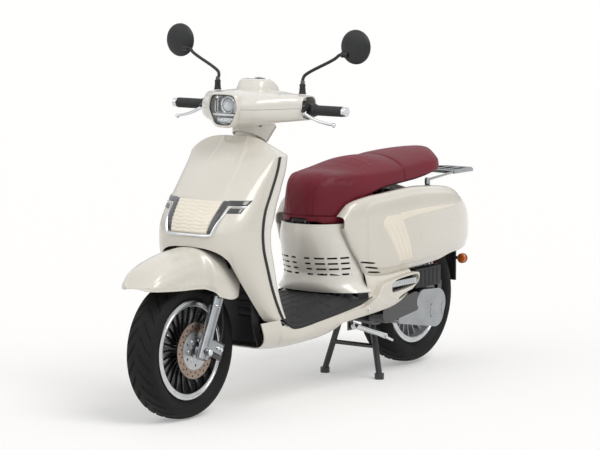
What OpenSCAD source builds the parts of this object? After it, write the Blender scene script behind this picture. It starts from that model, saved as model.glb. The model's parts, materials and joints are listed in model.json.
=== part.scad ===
// Step-through moped scooter, standing on its centre stand.
// +Z is up, the front wheel points to -Y, the rider's left is +X.
// The origin lies on the ground, under the middle of the machine's box.

/* [Wheels] */
// Distance between the axles
wheelbase = 1320; // [1280:5:1400]
// Outside diameter of the front tyre
front_tyre_d = 459; // [445:1:465]
// Section width of the front tyre
front_tyre_w = 110; // [100:1:114]
// Outside diameter of the rear tyre
rear_tyre_d = 472; // [455:1:476]
// Section width of the rear tyre
rear_tyre_w = 120; // [108:1:122]
// Bead seat diameter of both rims
rim_d = 305; // [295:1:312]
// Width between the rim flanges
rim_w = 76; // [66:1:82]
// Height of a rim flange above its bead seat
flange_h = 12; // [8:1:14]
// Fins in each wheel
fins = 24; // [16:1:28]
// Gap under the rear tyre while the stand carries the machine
rear_lift = 8; // [2:1:12]
// Diameter of the front axle
axle_d = 15; // [12:0.5:18]
// Diameter of the rear wheel shaft
shaft_d = 24; // [20:1:26]

/* [Steering] */
// Rake of the steering axis from the vertical
rake = 25; // [23:0.5:27]
// Distance of the fork legs in front of the steering axis
fork_offset = 35; // [30:1:40]
// Distance of a fork leg from the middle plane
leg_x = 95; // [92:1:97]
// Outside diameter of a fork lower
lower_d = 41; // [38:1:42]
// Diameter of a fork tube
fork_tube_d = 30; // [26:1:32]
// Diameter of the steering stem
stem_d = 32; // [28:1:34]
// Brake disc diameter
disc_d = 186; // [176:2:190]

/* [Handlebar] */
// Diameter of the handlebar tube
bar_d = 22; // [20:0.5:24]
// Half length of the handlebar without its end weights
bar_half = 346; // [342:1:356]
// Length of a grip
grip_l = 116; // [108:1:118]
// Diameter of a grip
grip_d = 34; // [30:1:36]
// Diameter of a mirror
mirror_d = 114; // [100:1:120]

/* [Body] */
// Half width of the leg shield
shield_w = 190; // [186:1:194]
// Wall of the moulded panels
panel_t = 3.5; // [2.5:0.5:4]
// Width of the rubber trim along the shield edge
trim_w = 12; // [8:1:16]
// Height of the floor at its edge, at the front
floor_z = 264; // [258:1:268]
// Rise of the floor towards its middle
floor_crown = 36; // [28:1:40]
// Thickness of the floor mat
mat_t = 8; // [5:1:9]
// Largest half width of the side cowls
cowl_w = 196; // [190:1:202]
// Half width of the seat
seat_w = 150; // [142:1:152]
// Height of the pillion seat
seat_top = 794; // [776:1:800]

/* [Rear] */
// Length of the luggage rack plate
rack_l = 168; // [150:2:180]
// Width of the luggage rack plate
rack_w = 176; // [160:2:190]
// Spacing of the rack's mounting holes across the machine
rack_hole_x = 140; // [132:2:146]
// Spacing of the rack's mounting holes along the machine
rack_hole_y = 90; // [70:2:96]
// Diameter of the rack's mounting holes
rack_hole_d = 7; // [6:0.5:9]
// Spacing of the number plate holes
plate_hole_x = 74; // [60:2:84]
// Diameter of the number plate holes
plate_hole_d = 6; // [5:0.5:8]
// Outside diameter of the shock spring
spring_d = 46; // [42:1:48]
// Wire diameter of the shock spring
wire_d = 7; // [6:0.5:8]
// Turns of the shock spring
coils = 9; // [7:1:10]

/* [Fits] */
// Radial clearance of turning and sliding fits
run = 0.05; // [0.03:0.01:0.09]
// Gap between pieces that pass each other
gap = 0.5; // [0.4:0.1:1]

/* [Hidden] */
$fn = 48;
front_r = front_tyre_d / 2;
rear_z = rear_tyre_d / 2 + rear_lift;
rim_r = rim_d / 2;
fender_reach = 235;
rack_reach = 353;
mid_shift = (fender_reach - rack_reach) / 2;
fy = mid_shift - wheelbase / 2;
ry = mid_shift + wheelbase / 2;
lower_r = lower_d / 2;
tube_r = fork_tube_d / 2;
stem_r = stem_d / 2;
axle_r = axle_d / 2;
shaft_r = shaft_d / 2;
bar_r = bar_d / 2;
// Stations along the fork, measured from the axle
lower_top = 190;
tube_end = 110;
yoke_low = 402;
yoke_top = 430;
head_top = 690;
stem_top = 838;
neck_low = 763;
// Handlebar place in the fork's frame
bar_o = 66;
bar_s = 875;
// Shield edge: height against distance behind the front axle, and how far it draws in
shield_edge = [[280, 335], [311, 304], [400, 256], [494, 222], [551, 205], [612, 202],
    [672, 219], [730, 254], [800, 290], [850, 306], [910, 320]];
shield_taper = [[280, 0], [400, 2], [612, 4], [672, 7], [730, 10], [800, 10], [910, 12]];
// Shield bulge in front of its edge, and inner shield bulge behind it
shield_bulge = [[280, 74], [384, 101], [494, 152], [599, 153], [641, 147], [682, 132],
    [719, 122], [785, 89], [840, 46], [870, 24], [910, 5]];
inner_bulge = [[280, 40], [311, 48], [400, 74], [500, 94], [560, 100], [609, 108],
    [643, 126], [742, 116], [825, 105], [850, 100]];
shield_round = 2.8;
shield_crest = 907;
shield_corner = 846;
shield_waist = 600;
shield_foot = 306;
// Front wheel opening: height of its edge against the angle round the shield
arch = [[0, 563], [14, 559], [28, 547], [38, 528], [43, 505], [46, 440], [48, 350], [51, 306], [90, 306]];
shield_angles = [0, 10, 20, 28, 35, 41, 45, 48, 52, 60, 68, 76, 84, 90];
upper_rows = 14;
lower_rows = 5;
inner_rows = 16;
grille_rows = [9, 13];
wing_rows = [8, 10];
// Floor edge: part of its length against height above its lowest place
floor_rise = [[0, 20], [0.1, 0], [0.35, 8], [0.8, 34], [1, 61]];
// Seat: distance from the rear axle against its crown, underside and half width
seat_crown = [[-668, 646], [-660, 688], [-640, 724], [-606, 745], [-560, 752], [-510, 754], [-455, 768], [-385, 784],
    [-310, 788], [-225, 786], [-180, 791], [-75, 795], [40, seat_top], [100, 789], [132, 776], [150, 742]];
seat_edge = [[-668, 630], [-660, 664], [-640, 704], [-606, 730], [-560, 741], [-367, 741], [-242, 744], [-195, 749],
    [-66, 753], [60, 754], [120, 746], [150, 722]];
seat_under = [[-668, 592], [-560, 592], [-500, 622], [-440, 654], [-360, 673], [-240, 683],
    [-100, 690], [40, 704], [150, 707]];
seat_skirt = [[-668, 10], [-652, 11], [-632, 17], [-530, 17], [-480, 5], [-430, 2], [150, 2]];
seat_half = [[-668, 38], [-660, 56], [-645, 76], [-620, 96], [-570, 119], [-500, 140], [-410, seat_w], [-260, seat_w],
    [-100, seat_w - 10], [0, seat_w - 20], [45, seat_w - 34], [90, seat_w - 62], [125, seat_w - 92], [150, seat_w - 124]];
cowl_in = [[-668, 44], [-650, 70], [-620, 94], [-570, 118], [-500, 140], [-410, seat_w], [-260, seat_w],
    [-100, seat_w - 12], [40, seat_w - 28], [120, seat_w - 52], [172, seat_w - 96]];
seat_seam = -222;
seat_pan_t = 6;
hinge_y = ry - 656;
hinge_z = 588;
hinge_pin_r = 4;
// Cowl: distance from the rear axle against its top, its foot and its half width
cowl_top = [[-598, 604], [-560, 643], [-484, 663], [-386, 670], [-260, 676], [-159, 675], [44, 655],
    [133, 630], [211, 586], [244, 533], [252, 492]];
cowl_foot = [[-598, 560], [-565, 494], [-524, 434], [-492, 396], [-401, 382], [-284, 385], [-147, 389],
    [-34, 398], [55, 413], [160, 416], [230, 428], [252, 474]];
cowl_half = [[-598, cowl_w - 48], [-510, cowl_w - 20], [-400, cowl_w - 4], [-250, cowl_w], [-100, cowl_w - 3],
    [60, cowl_w - 22], [160, cowl_w - 46], [230, cowl_w - 78], [252, cowl_w - 98]];
rack_foot = [148, ry - 85, 676];
// Under-seat box: height against its front, from the rear axle
box_front = [[338, -622], [352, -634], [370, -640], [403, -637], [438, -651], [496, -669], [540, -677], [578, -671]];
box_half = [[338, 188], [352, 172], [370, 156], [403, 150], [500, 148], [578, 142]];
box_back = -490;
// Engine and stand pivots
pivot_y = ry - 445;
pivot_z = 275;
pivot_r = 8;
stand_y = ry - 315;
stand_z = 212;
stand_pin_r = 6;
plate_x = 88;
plate_t = 8;
rail_x = 106;
rail_z = 238;
rail_r = 13;
seat_rail_x = 106;
seat_rail_z = 640;
seat_rail_r = 12;
// Shock absorber ends
shock_x = 90;
shock_hi = [shock_x, ry - 10, 590];
shock_lo = [shock_x, ry + 45, 300];
shock_len = norm(shock_hi - shock_lo);
shock_tilt = atan2(shock_lo[1] - shock_hi[1], shock_hi[2] - shock_lo[2]);
shock_pin_r = 5;
shock_travel = 56;
spring_top = 40;
spring_low = shock_len - 46;
// Side stand and footpegs
side_pivot = [132, ry - 525, 214];
side_l = 206;
peg_x = 204;
peg_y = ry - 390;
peg_z = 352;
peg_l = 140;
peg_pin_r = 5;
// End of the handlebar cover's arms, mirror tilt pin and lever pivot
arm_end = bar_half - grip_l - 25;
mirror_pin = [arm_end + 125, 26, 186];
mirror_pin_r = 5;
lever_pivot = [arm_end + 9, -34, -8];
lever_pin_r = 4;
button_r = 5;
cowl_pin_x = 140;
hose_r = 4;
hose_route = [[70, 104, 60], [70, 104, 90], [69, 92, 130], [66, 70, 170], [62, 52, 240], [58, 46, 310], [56, 44, 370], [56, 44, yoke_low]];

// Curves and surfaces
function lerp(a, b, t) = a + (b - a) * t;
function unit(v) = v / norm(v);
function spow(c, e) = sign(c) * pow(abs(c), e);
function span(t, x, i = 0) = i >= len(t) - 2 || x < t[i + 1][0] ? i : span(t, x, i + 1);
function rise(t, i, j) = (t[j][1] - t[i][1]) / (t[j][0] - t[i][0]);
function slope(t, i) = rise(t, max(i - 1, 0), min(i + 1, len(t) - 1));
// Smooth curve through the points of t
function curve(t, x0) =
    let (x = min(max(x0, t[0][0]), t[len(t) - 1][0]), i = span(t, x), h = t[i + 1][0] - t[i][0],
        s = (x - t[i][0]) / h, a = slope(t, i) * h, b = slope(t, i + 1) * h)
    t[i][1] * (2 * s ^ 3 - 3 * s ^ 2 + 1) + a * (s ^ 3 - 2 * s ^ 2 + s)
        + t[i + 1][1] * (3 * s ^ 2 - 2 * s ^ 3) + b * (s ^ 3 - s ^ 2);
function both(list) = concat([for (k = [len(list) - 1:-1:1]) -list[k]], list);
function part_of(g, rows, cols) = [for (i = [rows[0]:rows[1]]) [for (j = [cols[0]:cols[1]]) g[i][j]]];
function grid_normal(g, i, j) =
    let (m = len(g) - 1, n = len(g[0]) - 1,
        du = g[i][min(j + 1, n)] - g[i][max(j - 1, 0)],
        dv = g[min(i + 1, m)][j] - g[max(i - 1, 0)][j])
    unit(cross(du, dv));
function offset_grid(g, t) = [for (i = [0:len(g) - 1]) [for (j = [0:len(g[0]) - 1]) g[i][j] + t * grid_normal(g, i, j)]];
function turned(faces, flip) = [for (f = faces) flip ? [f[2], f[1], f[0]] : f];

// Wall between two grids of points
module wall(g, h, flip) {
    m = len(g);
    n = len(g[0]);
    k = m * n;
    sheet = [for (i = [0:m - 2], j = [0:n - 2])
        each [[i * n + j, i * n + j + 1, (i + 1) * n + j + 1], [i * n + j, (i + 1) * n + j + 1, (i + 1) * n + j]]];
    back = [for (f = sheet) [f[2] + k, f[1] + k, f[0] + k]];
    rim = concat([for (j = [0:n - 2]) [j + 1, j]], [for (j = [0:n - 2]) [(m - 1) * n + j, (m - 1) * n + j + 1]],
        [for (i = [0:m - 2]) [i * n, (i + 1) * n]], [for (i = [0:m - 2]) [(i + 1) * n + n - 1, i * n + n - 1]]);
    edge = [for (e = rim) each [[e[0], e[1], e[1] + k], [e[0], e[1] + k, e[0] + k]]];
    points = concat([for (r = g) each r], [for (r = h) each r]);
    polyhedron(points, turned(concat(sheet, back, edge), flip));
}
// Panel that follows a grid, with its thickness to one side
module panel(g, t) {
    wall(g, offset_grid(g, t), t < 0);
}
// Closed body through rings of points, capped at both ends
module skin(rings) {
    m = len(rings);
    n = len(rings[0]);
    ends = [for (r = [rings[0], rings[m - 1]]) [for (c = [0:2]) [for (p = r) p[c]] * [for (p = r) 1] / n]];
    side = [for (i = [0:m - 2], j = [0:n - 1])
        let (k = (j + 1) % n)
        each [[i * n + j, (i + 1) * n + k, i * n + k], [i * n + j, (i + 1) * n + j, (i + 1) * n + k]]];
    caps = [for (j = [0:n - 1])
        let (k = (j + 1) % n)
        each [[j, k, m * n], [(m - 1) * n + k, (m - 1) * n + j, m * n + 1]]];
    polyhedron(concat([for (r = rings) each r], ends), concat(side, caps));
}
module rod(p, q, r) {
    v = q - p;
    translate(p)
        rotate([0, acos(v[2] / norm(v)), atan2(v[1], v[0])])
            cylinder(r = r, h = norm(v));
}
module cross_rod(x0, x1, y, z, r) {
    translate([x0, y, z])
        rotate([0, 90, 0])
            cylinder(r = r, h = x1 - x0);
}
module box(a, b) {
    translate(a)
        cube(b - a);
}
module side_plate(x0, x1, points) {
    translate([x0, 0, 0])
        rotate([90, 0, 90])
            linear_extrude(x1 - x0)
                polygon(points);
}
module twins() {
    children();
    mirror([1, 0, 0])
        children();
}
// Frame of the fork: x across, y square to the legs, z up along them
module fork() {
    translate([0, fy, front_r])
        rotate([-rake, 0, 0])
            children();
}
// Frame of the handlebar, square to the machine
module bar() {
    fork()
        translate([0, bar_o, bar_s])
            rotate([rake, 0, 0])
                children();
}

// Shield surface
function shield_half(z) = shield_w - curve(shield_taper, z);
function shield_x(a, z) = shield_half(z) * spow(sin(a), 2 / shield_round);
function shield_point(a, z) = [shield_x(a, z),
    fy + curve(shield_edge, z) - trim_w / 2 - curve(shield_bulge, z) * pow(abs(cos(a)), 2 / shield_round), z];
function inner_point(a, z) = [shield_x(a, z),
    fy + curve(shield_edge, z) + trim_w / 2 + curve(inner_bulge, z) * pow(abs(cos(a)), 2 / shield_round), z];
function shield_high(a) = lerp(shield_crest, shield_corner, pow(abs(sin(a)), 8 / shield_round));
angles = both(shield_angles);
middle = len(shield_angles) - 1;
shield_grid = [for (i = [0:upper_rows + lower_rows]) [for (a = angles)
    shield_point(a, i < upper_rows ? lerp(shield_high(a), shield_waist, i / upper_rows)
        : lerp(shield_waist, curve(arch, abs(a)), (i - upper_rows) / lower_rows))]];
inner_grid = [for (i = [0:inner_rows]) [for (a = angles)
    inner_point(a, lerp(shield_corner, shield_foot, i / inner_rows))]];
plate_front = fy + 180;
plate_rear = fy + 318;

boss_z = [668, 704];
module front_shield() color("#ece7dc") {
    panel(shield_grid, panel_t);
    box([-30, shield_point(0, boss_z[1])[1] + panel_t / 2, boss_z[0]], [30, plate_front, boss_z[1]]);
}
module inner_shield() color("#ece7dc") {
    panel(inner_grid, -panel_t);
    box([-30, plate_rear, boss_z[0]], [30, inner_point(0, boss_z[0])[1] - panel_t / 2, boss_z[1]]);
}
trim_gap = 0.8;
module shield_trim() color("#202122") {
    twins()
        skin([for (i = [0:inner_rows])
            let (z = lerp(shield_corner, shield_foot, i / inner_rows), y = fy + curve(shield_edge, z))
            [for (c = [[5, -1], [5, 1], [1, 1], [1, -1]])
                [shield_half(z) + c[0], y + c[1] * (trim_w / 2 - trim_gap), z]]]);
}
// Grille, chrome frame and lamps lie on the shield's own faces
module patch(rows, cols, t) {
    wall(part_of(shield_grid, rows, cols), part_of(offset_grid(shield_grid, -t), rows, cols), true);
}
module grille_panel() color("#f3ead8") {
    patch(grille_rows, [middle - 2, middle + 2], 4);
}
module grille_surround() color("#c8ccd0") {
    patch([grille_rows[1], grille_rows[1] + 1], [middle - 4, middle + 4], 6);
}
module front_signals() color("#26282b") {
    for (s = [-1, 1]) {
        patch(grille_rows, [middle + s * 2.5 - 0.5, middle + s * 2.5 + 0.5], 5);
        patch(wing_rows, [middle + s * 6.5 - 3.5, middle + s * 6.5 + 3.5], 5);
    }
}

// Floor: it starts at the inner shield's foot and ends at the seat box
floor_gap = 1.5;
function side_round(s, n) = pow(max(1 - pow(abs(s), n), 0), 1 / n);
function floor_front(s) = fy + curve(shield_edge, shield_foot) + trim_w / 2 + floor_gap
    + curve(inner_bulge, shield_foot) * side_round(s, shield_round);
function floor_back(s) = ry + box_back - floor_gap + (box_front[0][1] - box_back) * side_round(s, 20 / 9);
function floor_edge(y) = floor_z + curve(floor_rise, (y - fy - 325) / (wheelbase - 785));
floor_grid = [for (i = [0:12]) [for (k = [-8:8])
    let (s = sin(k / 8 * 90), y = lerp(floor_front(s), floor_back(s), i / 12))
    [shield_w * s, y, floor_edge(y) + floor_crown * (1 - pow(abs(s), 3))]]];
tray_low = [[0, 200], [0.12, 192], [0.55, 194], [0.72, 206], [0.86, 240], [1, 262]];
tray_gap = 0.6;
tray_y0 = fy + 232;
tray_len = 545 + wheelbase - 1320;
function tray_point(t, a) =
    let (low = curve(tray_low, t), high = t < 0.15 ? shield_foot : floor_edge(tray_y0 + tray_len * t),
        z = high - (high - low) * pow(abs(cos(a)), 0.6),
        lean = 0.47 * (z - low) * pow(1 - t, 6), dip = 60 * pow(abs(cos(a)), 6) * pow(1 - t, 6))
    [(shield_w + panel_t + tray_gap) * spow(sin(a), 0.6), tray_y0 + tray_len * t - lean + dip, z];
tray_grid = [for (i = [0:12]) [for (k = [-10:10]) tray_point(i / 12, k * 9)]];
wing_x = 214;
wing = [[-606, 262], [-470, 266], [-374, 278], [-291, 312], [-229, 347], [-224, 380], [-449, 356], [-480, 316], [-606, 284]];
module peg_carrier(r) {
    rod([rail_x + 4, ry - 560, 338], [peg_x, peg_y, peg_z - 17 - gap], r);
}
module wing_side(x0, x1, inset) {
    side_plate(x0, x1, [for (i = [0:len(wing) - 1]) let (p = wing[i])
        [ry + p[0] + (p[0] < -400 ? inset : -inset), p[1] + (i < 5 ? inset : -inset)]]);
}
rib_y0 = fy + 440;
rib_y1 = ry - 730;
rib_z = floor_edge(rib_y0) + floor_crown * (1 - pow((rail_x + 10) / shield_w, 3)) - panel_t / 2;
module floor_pan() color("#e9e4d9") {
    panel(floor_grid, -panel_t);
    panel(tray_grid, panel_t);
    twins() {
        box([rail_x - 10, rib_y0, rail_z + rail_r], [rail_x + 10, rib_y1, rib_z]);
        difference() {
            wing_side(170, wing_x, 0);
            wing_side(165, wing_x - panel_t, panel_t);
            box([165, peg_y - 14, peg_z - 28], [wing_x + 5, ry, peg_z + 40]);
            peg_carrier(11);
        }
    }
}
module floor_mat() color("#2b2b2c") {
    panel(floor_grid, mat_t);
}
// Splash guard round the back of the front wheel
guard_side = [[205, 232], [300, 196], [384, 190], [451, 146], [510, 108], [560, 66]];
guard_mid = [[205, 276], [300, 278], [400, 262], [500, 238], [560, 262]];
guard_grid = [for (i = [0:10]) [for (k = [-9:9])
    let (z = lerp(224, 529, i / 10), t = sin(k * 10))
    [144 * t, fy + lerp(curve(guard_mid, z), curve(guard_side, z), pow(abs(t), 10)), z]]];
guard_plate = 277;
guard_tab = [350, 380];
module splash_guard() color("#1d1d1e") {
    panel(guard_grid, -panel_t);
    box([-14, fy + curve(guard_mid, guard_tab[0]) + panel_t / 2, guard_tab[0]], [14, fy + guard_plate, guard_tab[1]]);
}

// Seat box and cowls
function box_point(a, z) = [curve(box_half, z) * spow(sin(a), 0.9),
    ry + box_back + (curve(box_front, z) - box_back) * pow(abs(cos(a)), 0.9), z];
box_grid = [for (i = [0:12]) [for (k = [-9:9]) box_point(k * 10, lerp(578, 338, i / 12))]];
box_plate_y = ry - 520;
module seat_box() color("#e9e4d9") {
    difference() {
        panel(box_grid, panel_t);
        for (r = [0:3], a = [-62, -44, -26, -9, 9, 26, 44, 62]) {
            p = box_point(a, 458.7 - 19.2 * r);
            translate(p)
                rotate([0, 0, a])
                    cube([a * a > 200 ? 36 : 22, 40, 6.4], center = true);
        }
    }
    twins()
        box([120, box_plate_y - 4, 500], [144, box_plate_y, 520]);
}
cowl_rows = 18;
seat_gap = 8;
function cowl_point(y, a) =
    let (w = curve(cowl_half, y), edge = a > 0 ? min(curve(cowl_in, y) + seat_gap, w - 26) : min(box_half[3][1] + 6, w - 14))
    [edge + (w - edge) * pow(abs(cos(a)), 0.62), ry + y,
        lerp(curve(cowl_foot, y), curve(cowl_top, y), 0.5 + 0.5 * spow(sin(a), 0.75))];
cowl_grid = [for (i = [0:cowl_rows]) [for (k = [-6:6]) cowl_point(lerp(-598, 252, i / cowl_rows), k * 15)]];
module cowl() {
    difference() {
        panel(cowl_grid, panel_t);
        translate([rack_foot[0], rack_foot[1], 600])
            cylinder(r = 13, h = 120);
    }
    cross_rod(cowl_pin_x, cowl_w - 3, ry - 170, 560, 8);
}
module cowl_left() color("#e9e4d9") cowl();
module cowl_right() color("#e9e4d9") mirror([1, 0, 0]) cowl();
bucket_x = 92;
bucket_y0 = ry - 545;
bucket_y1 = ry - 255;
bucket_z = 440;
bucket_lip = seat_rail_z + seat_rail_r;
module helmet_bucket() color("#232324") {
    difference() {
        union() {
            box([-bucket_x, bucket_y0, bucket_z], [bucket_x, bucket_y1, bucket_lip]);
            box([-seat_rail_x, bucket_y1 - 60, bucket_lip], [seat_rail_x, bucket_y1 + 10, bucket_lip + 4]);
        }
        box([-bucket_x + panel_t, bucket_y0 + panel_t, bucket_z + panel_t],
            [bucket_x - panel_t, bucket_y1 - panel_t, bucket_lip + 20]);
        box([-bucket_x, bucket_y0 - 1, 560], [bucket_x, bucket_y0 + 112, bucket_lip + 20]);
    }
}

// Main frame
head_plate = 6;
module main_frame() color("#2a2b2d") {
    difference() {
        union() {
            fork()
                translate([0, fork_offset, yoke_top + gap])
                    cylinder(r = stem_r + 11, h = head_top - yoke_top - gap);
            rod([0, fy + 262, 690], [0, fy + 283, 560], 15);
            box([-60, plate_front, 660], [60, plate_front + head_plate, 740]);
            box([-5, plate_front, 672], [5, fy + 250, 728]);
            box([-40, plate_rear - head_plate, 660], [40, plate_rear, 740]);
            box([-5, fy + 262, 672], [5, plate_rear, 728]);
        }
        fork()
            translate([0, fork_offset, yoke_top])
                cylinder(r = stem_r + run, h = head_top);
    }
    rod([0, fy + 283, 560], [0, fy + 302, rail_z], 16);
    box([-14, fy + guard_plate, guard_tab[0] - 5], [14, fy + 298, guard_tab[1] + 5]);
    cross_rod(-rail_x, rail_x, fy + 302, rail_z, rail_r + 1);
    twins() {
        rod([rail_x, fy + 302, rail_z], [rail_x, ry - 720, rail_z], rail_r);
        rod([rail_x, ry - 720, rail_z], [rail_x + 2, ry - 604, 268], rail_r - 0.5);
        rod([rail_x + 2, ry - 604, 268], [seat_rail_x, ry - 520, 420], rail_r + 0.5);
        rod([seat_rail_x, ry - 520, 420], [seat_rail_x, ry - 380, seat_rail_z], seat_rail_r - 0.6);
        rod([seat_rail_x, ry - 380, seat_rail_z], [seat_rail_x, ry, seat_rail_z], seat_rail_r);
        rod([seat_rail_x, ry, seat_rail_z], [100, ry + 110, 585], seat_rail_r - 0.6);
        rod([100, ry + 110, 585], [22, ry + 205, 560], seat_rail_r - 1.2);
        box([seat_rail_x - 6, box_plate_y, 490], [141, box_plate_y + 6, 530]);
        box([seat_rail_x - 8, box_plate_y, 480], [seat_rail_x + 8, ry - 470, 530]);
        side_plate(plate_x - plate_t / 2, plate_x + plate_t / 2, [[ry - 575, 320], [ry - 560, 342], [pivot_y + 10, 300],
            [stand_y + 18, stand_z + 10], [stand_y + 18, stand_z - 22], [stand_y - 14, stand_z - 24], [ry - 520, 238]]);
        // Footpeg carrier with its upright pin
        peg_carrier(7);
        translate([peg_x, peg_y, peg_z - 20])
            cylinder(r = peg_pin_r, h = 32);
        // Cowl and rack seats
        cross_rod(seat_rail_x - 2, cowl_pin_x, ry - 170, 560, 8);
        rod([seat_rail_x, ry - 170, 560], [seat_rail_x, ry - 170, seat_rail_z], 8.5);
        rod([seat_rail_x, rack_foot[1], seat_rail_z], [rack_foot[0], rack_foot[1], 655], 7);
        translate([rack_foot[0], rack_foot[1], 648])
            cylinder(r = 9, h = rack_foot[2] - 648);
    }
    // Side stand carrier
    cross_rod(plate_x, side_pivot[0] - 8, side_pivot[1], side_pivot[2] + 28, 9);
    box([side_pivot[0] - 14, side_pivot[1] - 14, side_pivot[2] - 14], [side_pivot[0] - 8, side_pivot[1] + 14, side_pivot[2] + 32]);
    cross_rod(-plate_x - 4, plate_x + 4, pivot_y, pivot_z, pivot_r);
    cross_rod(-plate_x - 4, plate_x + 4, stand_y, stand_z, stand_pin_r);
    cross_rod(-seat_rail_x, seat_rail_x, ry - 120, seat_rail_z, seat_rail_r - 2);
    cross_rod(-seat_rail_x, seat_rail_x, ry - 560, 330, 10);
    // Tail bracket
    box([-26, ry + 208, 460], [26, ry + 214, 580]);
    // Shock carrier and its pin
    rod([shock_x, shock_hi[1], seat_rail_z], [seat_rail_x, shock_hi[1], seat_rail_z], 10);
    box([shock_x - 28, shock_hi[1] - 12, 575], [shock_x - 20, shock_hi[1] + 12, seat_rail_z + 8]);
    box([shock_x - 28, shock_hi[1] - 10, seat_rail_z - 8], [shock_x, shock_hi[1] + 10, seat_rail_z + 8]);
    cross_rod(shock_x - 24, shock_x + 14, shock_hi[1], shock_hi[2], shock_pin_r);
    // Side stand pin and seat hinge pin
    side_frame()
        translate([0, 0, -11])
            cylinder(r = 6, h = 24);
    cross_rod(-31, 31, hinge_y, hinge_z, hinge_pin_r);
    twins() {
        side_plate(24, 30, [[hinge_y - 7, hinge_z - 8], [hinge_y + 7, hinge_z - 8], [hinge_y + 7, hinge_z + 4], [hinge_y - 7, hinge_z + 4]]);
        rod([28.5, hinge_y + 5, hinge_z - 4], [28.5, ry - 570, 500], 5);
        rod([28.5, ry - 570, 500], [28.5, ry - 560, 330], 5.6);
    }
}

// Rack, lamps and rear guard
rack_z = 684;
rack_t = 10;
rack_y1 = ry + rack_reach;
rack_y0 = rack_y1 - rack_l;
module rear_rack() color("#b9bcbf") {
    difference() {
        union() {
            box([-rack_w / 2, rack_y0, rack_z], [rack_w / 2, rack_y1 - 40, rack_z + rack_t]);
            box([-rack_w / 2 + 34, rack_y0, rack_z], [rack_w / 2 - 34, rack_y1, rack_z + rack_t]);
            twins()
                rack_corner();
        }
        for (k = [-1, 0, 1])
            box([k * 44 - 14, rack_y0 + 28, rack_z - 1], [k * 44 + 14, rack_y1 - 32, rack_z + rack_t + 1]);
        for (sx = [-1, 1], sy = [-1, 1])
            translate([sx * rack_hole_x / 2, (rack_y0 + rack_y1) / 2 + sy * rack_hole_y / 2, rack_z - 1])
                cylinder(d = rack_hole_d, h = rack_t + 2);
    }
    twins() {
        rod([rack_w / 2 - 10, rack_y0 + 12, rack_z + rack_t / 2], [rack_foot[0], rack_foot[1], rack_z + rack_t / 2], rack_t / 2 - 0.5);
        translate(rack_foot)
            cylinder(r = 10, h = rack_z + rack_t - rack_foot[2]);
    }
}
module rack_corner() {
    translate([0, 0, rack_z])
        linear_extrude(rack_t)
            polygon([[rack_w / 2 - 34, rack_y1 - 42], [rack_w / 2, rack_y1 - 42], [rack_w / 2 - 34, rack_y1]]);
}
module tail_lamp() color("#8e1418") {
    box([-58, ry + 214, 500], [58, ry + 262, 566]);
    box([-20, ry + 214, 566], [20, ry + 240, 578]);
}
guard_r = 292;
guard_x = 64;
flap_x = 52;
flap_y = ry + 250;
module rear_mudguard() color("#1d1d1e") {
    difference() {
        cross_rod(-guard_x, guard_x, ry, rear_z, guard_r + panel_t);
        cross_rod(-guard_x - 1, guard_x + 1, ry, rear_z, guard_r);
        box([-80, ry - 400, -100], [80, ry + 400, rear_z + 215]);
        box([-80, ry - 400, 0], [80, ry - 130, 900]);
    }
    box([-20, ry + 186, rear_z + 218], [20, ry + 208, 500]);
    box([-20, ry + 214, 462], [20, flap_y + 8, 496]);
    difference() {
        box([-flap_x, flap_y, 280], [flap_x, flap_y + 8, 470]);
        for (s = [-1, 1])
            translate([s * plate_hole_x / 2, flap_y - 10, 400])
                rotate([-90, 0, 0])
                    cylinder(d = plate_hole_d, h = 30);
    }
}
module rear_signals() color("#d9701f") {
    twins() {
        cross_rod(flap_x, flap_x + 14, flap_y + 4, 364, 6);
        translate([flap_x + 30, flap_y - 10, 364])
            rotate([-90, 0, 0])
                cylinder(r = 19, h = 30);
    }
}
module body_screws() color("#d4d6d8") {
    twins() {
        translate([rack_foot[0], rack_foot[1], rack_z + rack_t])
            cylinder(r = 7, h = 5);
        translate([40, ry + 262, 533])
            rotate([-90, 0, 0])
                cylinder(r = 5, h = 3);
        translate([wing_x, ry - 545, 282])
            rotate([0, 90, 0])
                cylinder(r = 5, h = 2.5);
    }
}

// Steering
module steering_yoke() color("#26272a") {
    fork() {
        difference() {
            union() {
                box([-leg_x - 21, -21, yoke_low], [leg_x + 21, 21, yoke_top]);
                box([-40, -21, yoke_low], [40, fork_offset + 24, yoke_top]);
            }
            for (s = [-1, 1])
                translate([s * leg_x, 0, yoke_low - 1])
                    cylinder(r = tube_r, h = 40);
        }
        translate([0, fork_offset, yoke_top - 4])
            cylinder(r = stem_r, h = stem_top - yoke_top + 4);
    }
}
module fork_tubes() color("#c9cdd1") {
    fork()
        for (s = [-1, 1])
            translate([s * leg_x, 0, tube_end])
                cylinder(r = tube_r, h = yoke_top - tube_end);
}
fender_crown = [[-fender_reach, 456], [-190, 508], [-104, 545], [-7, 560], [60, 560], [120, 548], [170, 524]];
fender_edge = [[-fender_reach, 449], [-101, 440], [12, 433], [34, 424], [56, 404], [149, 395], [170, 452]];
fender_half = [[-fender_reach, 42], [-220, 66], [-180, 82], [-104, 89], [0, 91], [24, 96], [46, 123], [150, 126], [170, 119]];
fender_stations = [-fender_reach, -222, -200, -170, -130, -90, -40, 0, 16, 30, 46, 80, 115, 150, 170];
fender_grid = [for (y = fender_stations) [for (k = [-8:8])
    let (a = k * 11.25)
    [curve(fender_half, y) * spow(sin(a), 0.8), fy + y, lerp(curve(fender_edge, y), curve(fender_crown, y), pow(cos(a), 0.8))]]];
module front_fender() color("#ece7dc") {
    difference() {
        panel(fender_grid, -panel_t);
        fork()
            for (s = [-1, 1])
                translate([s * leg_x, 0, lower_top])
                    cylinder(r = tube_r + 3, h = yoke_top - lower_top);
    }
    fork()
        twins()
            box([24, -12, 334], [52, 12, yoke_low]);
}
clamp_x = 28;
weight_l = 16;
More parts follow.
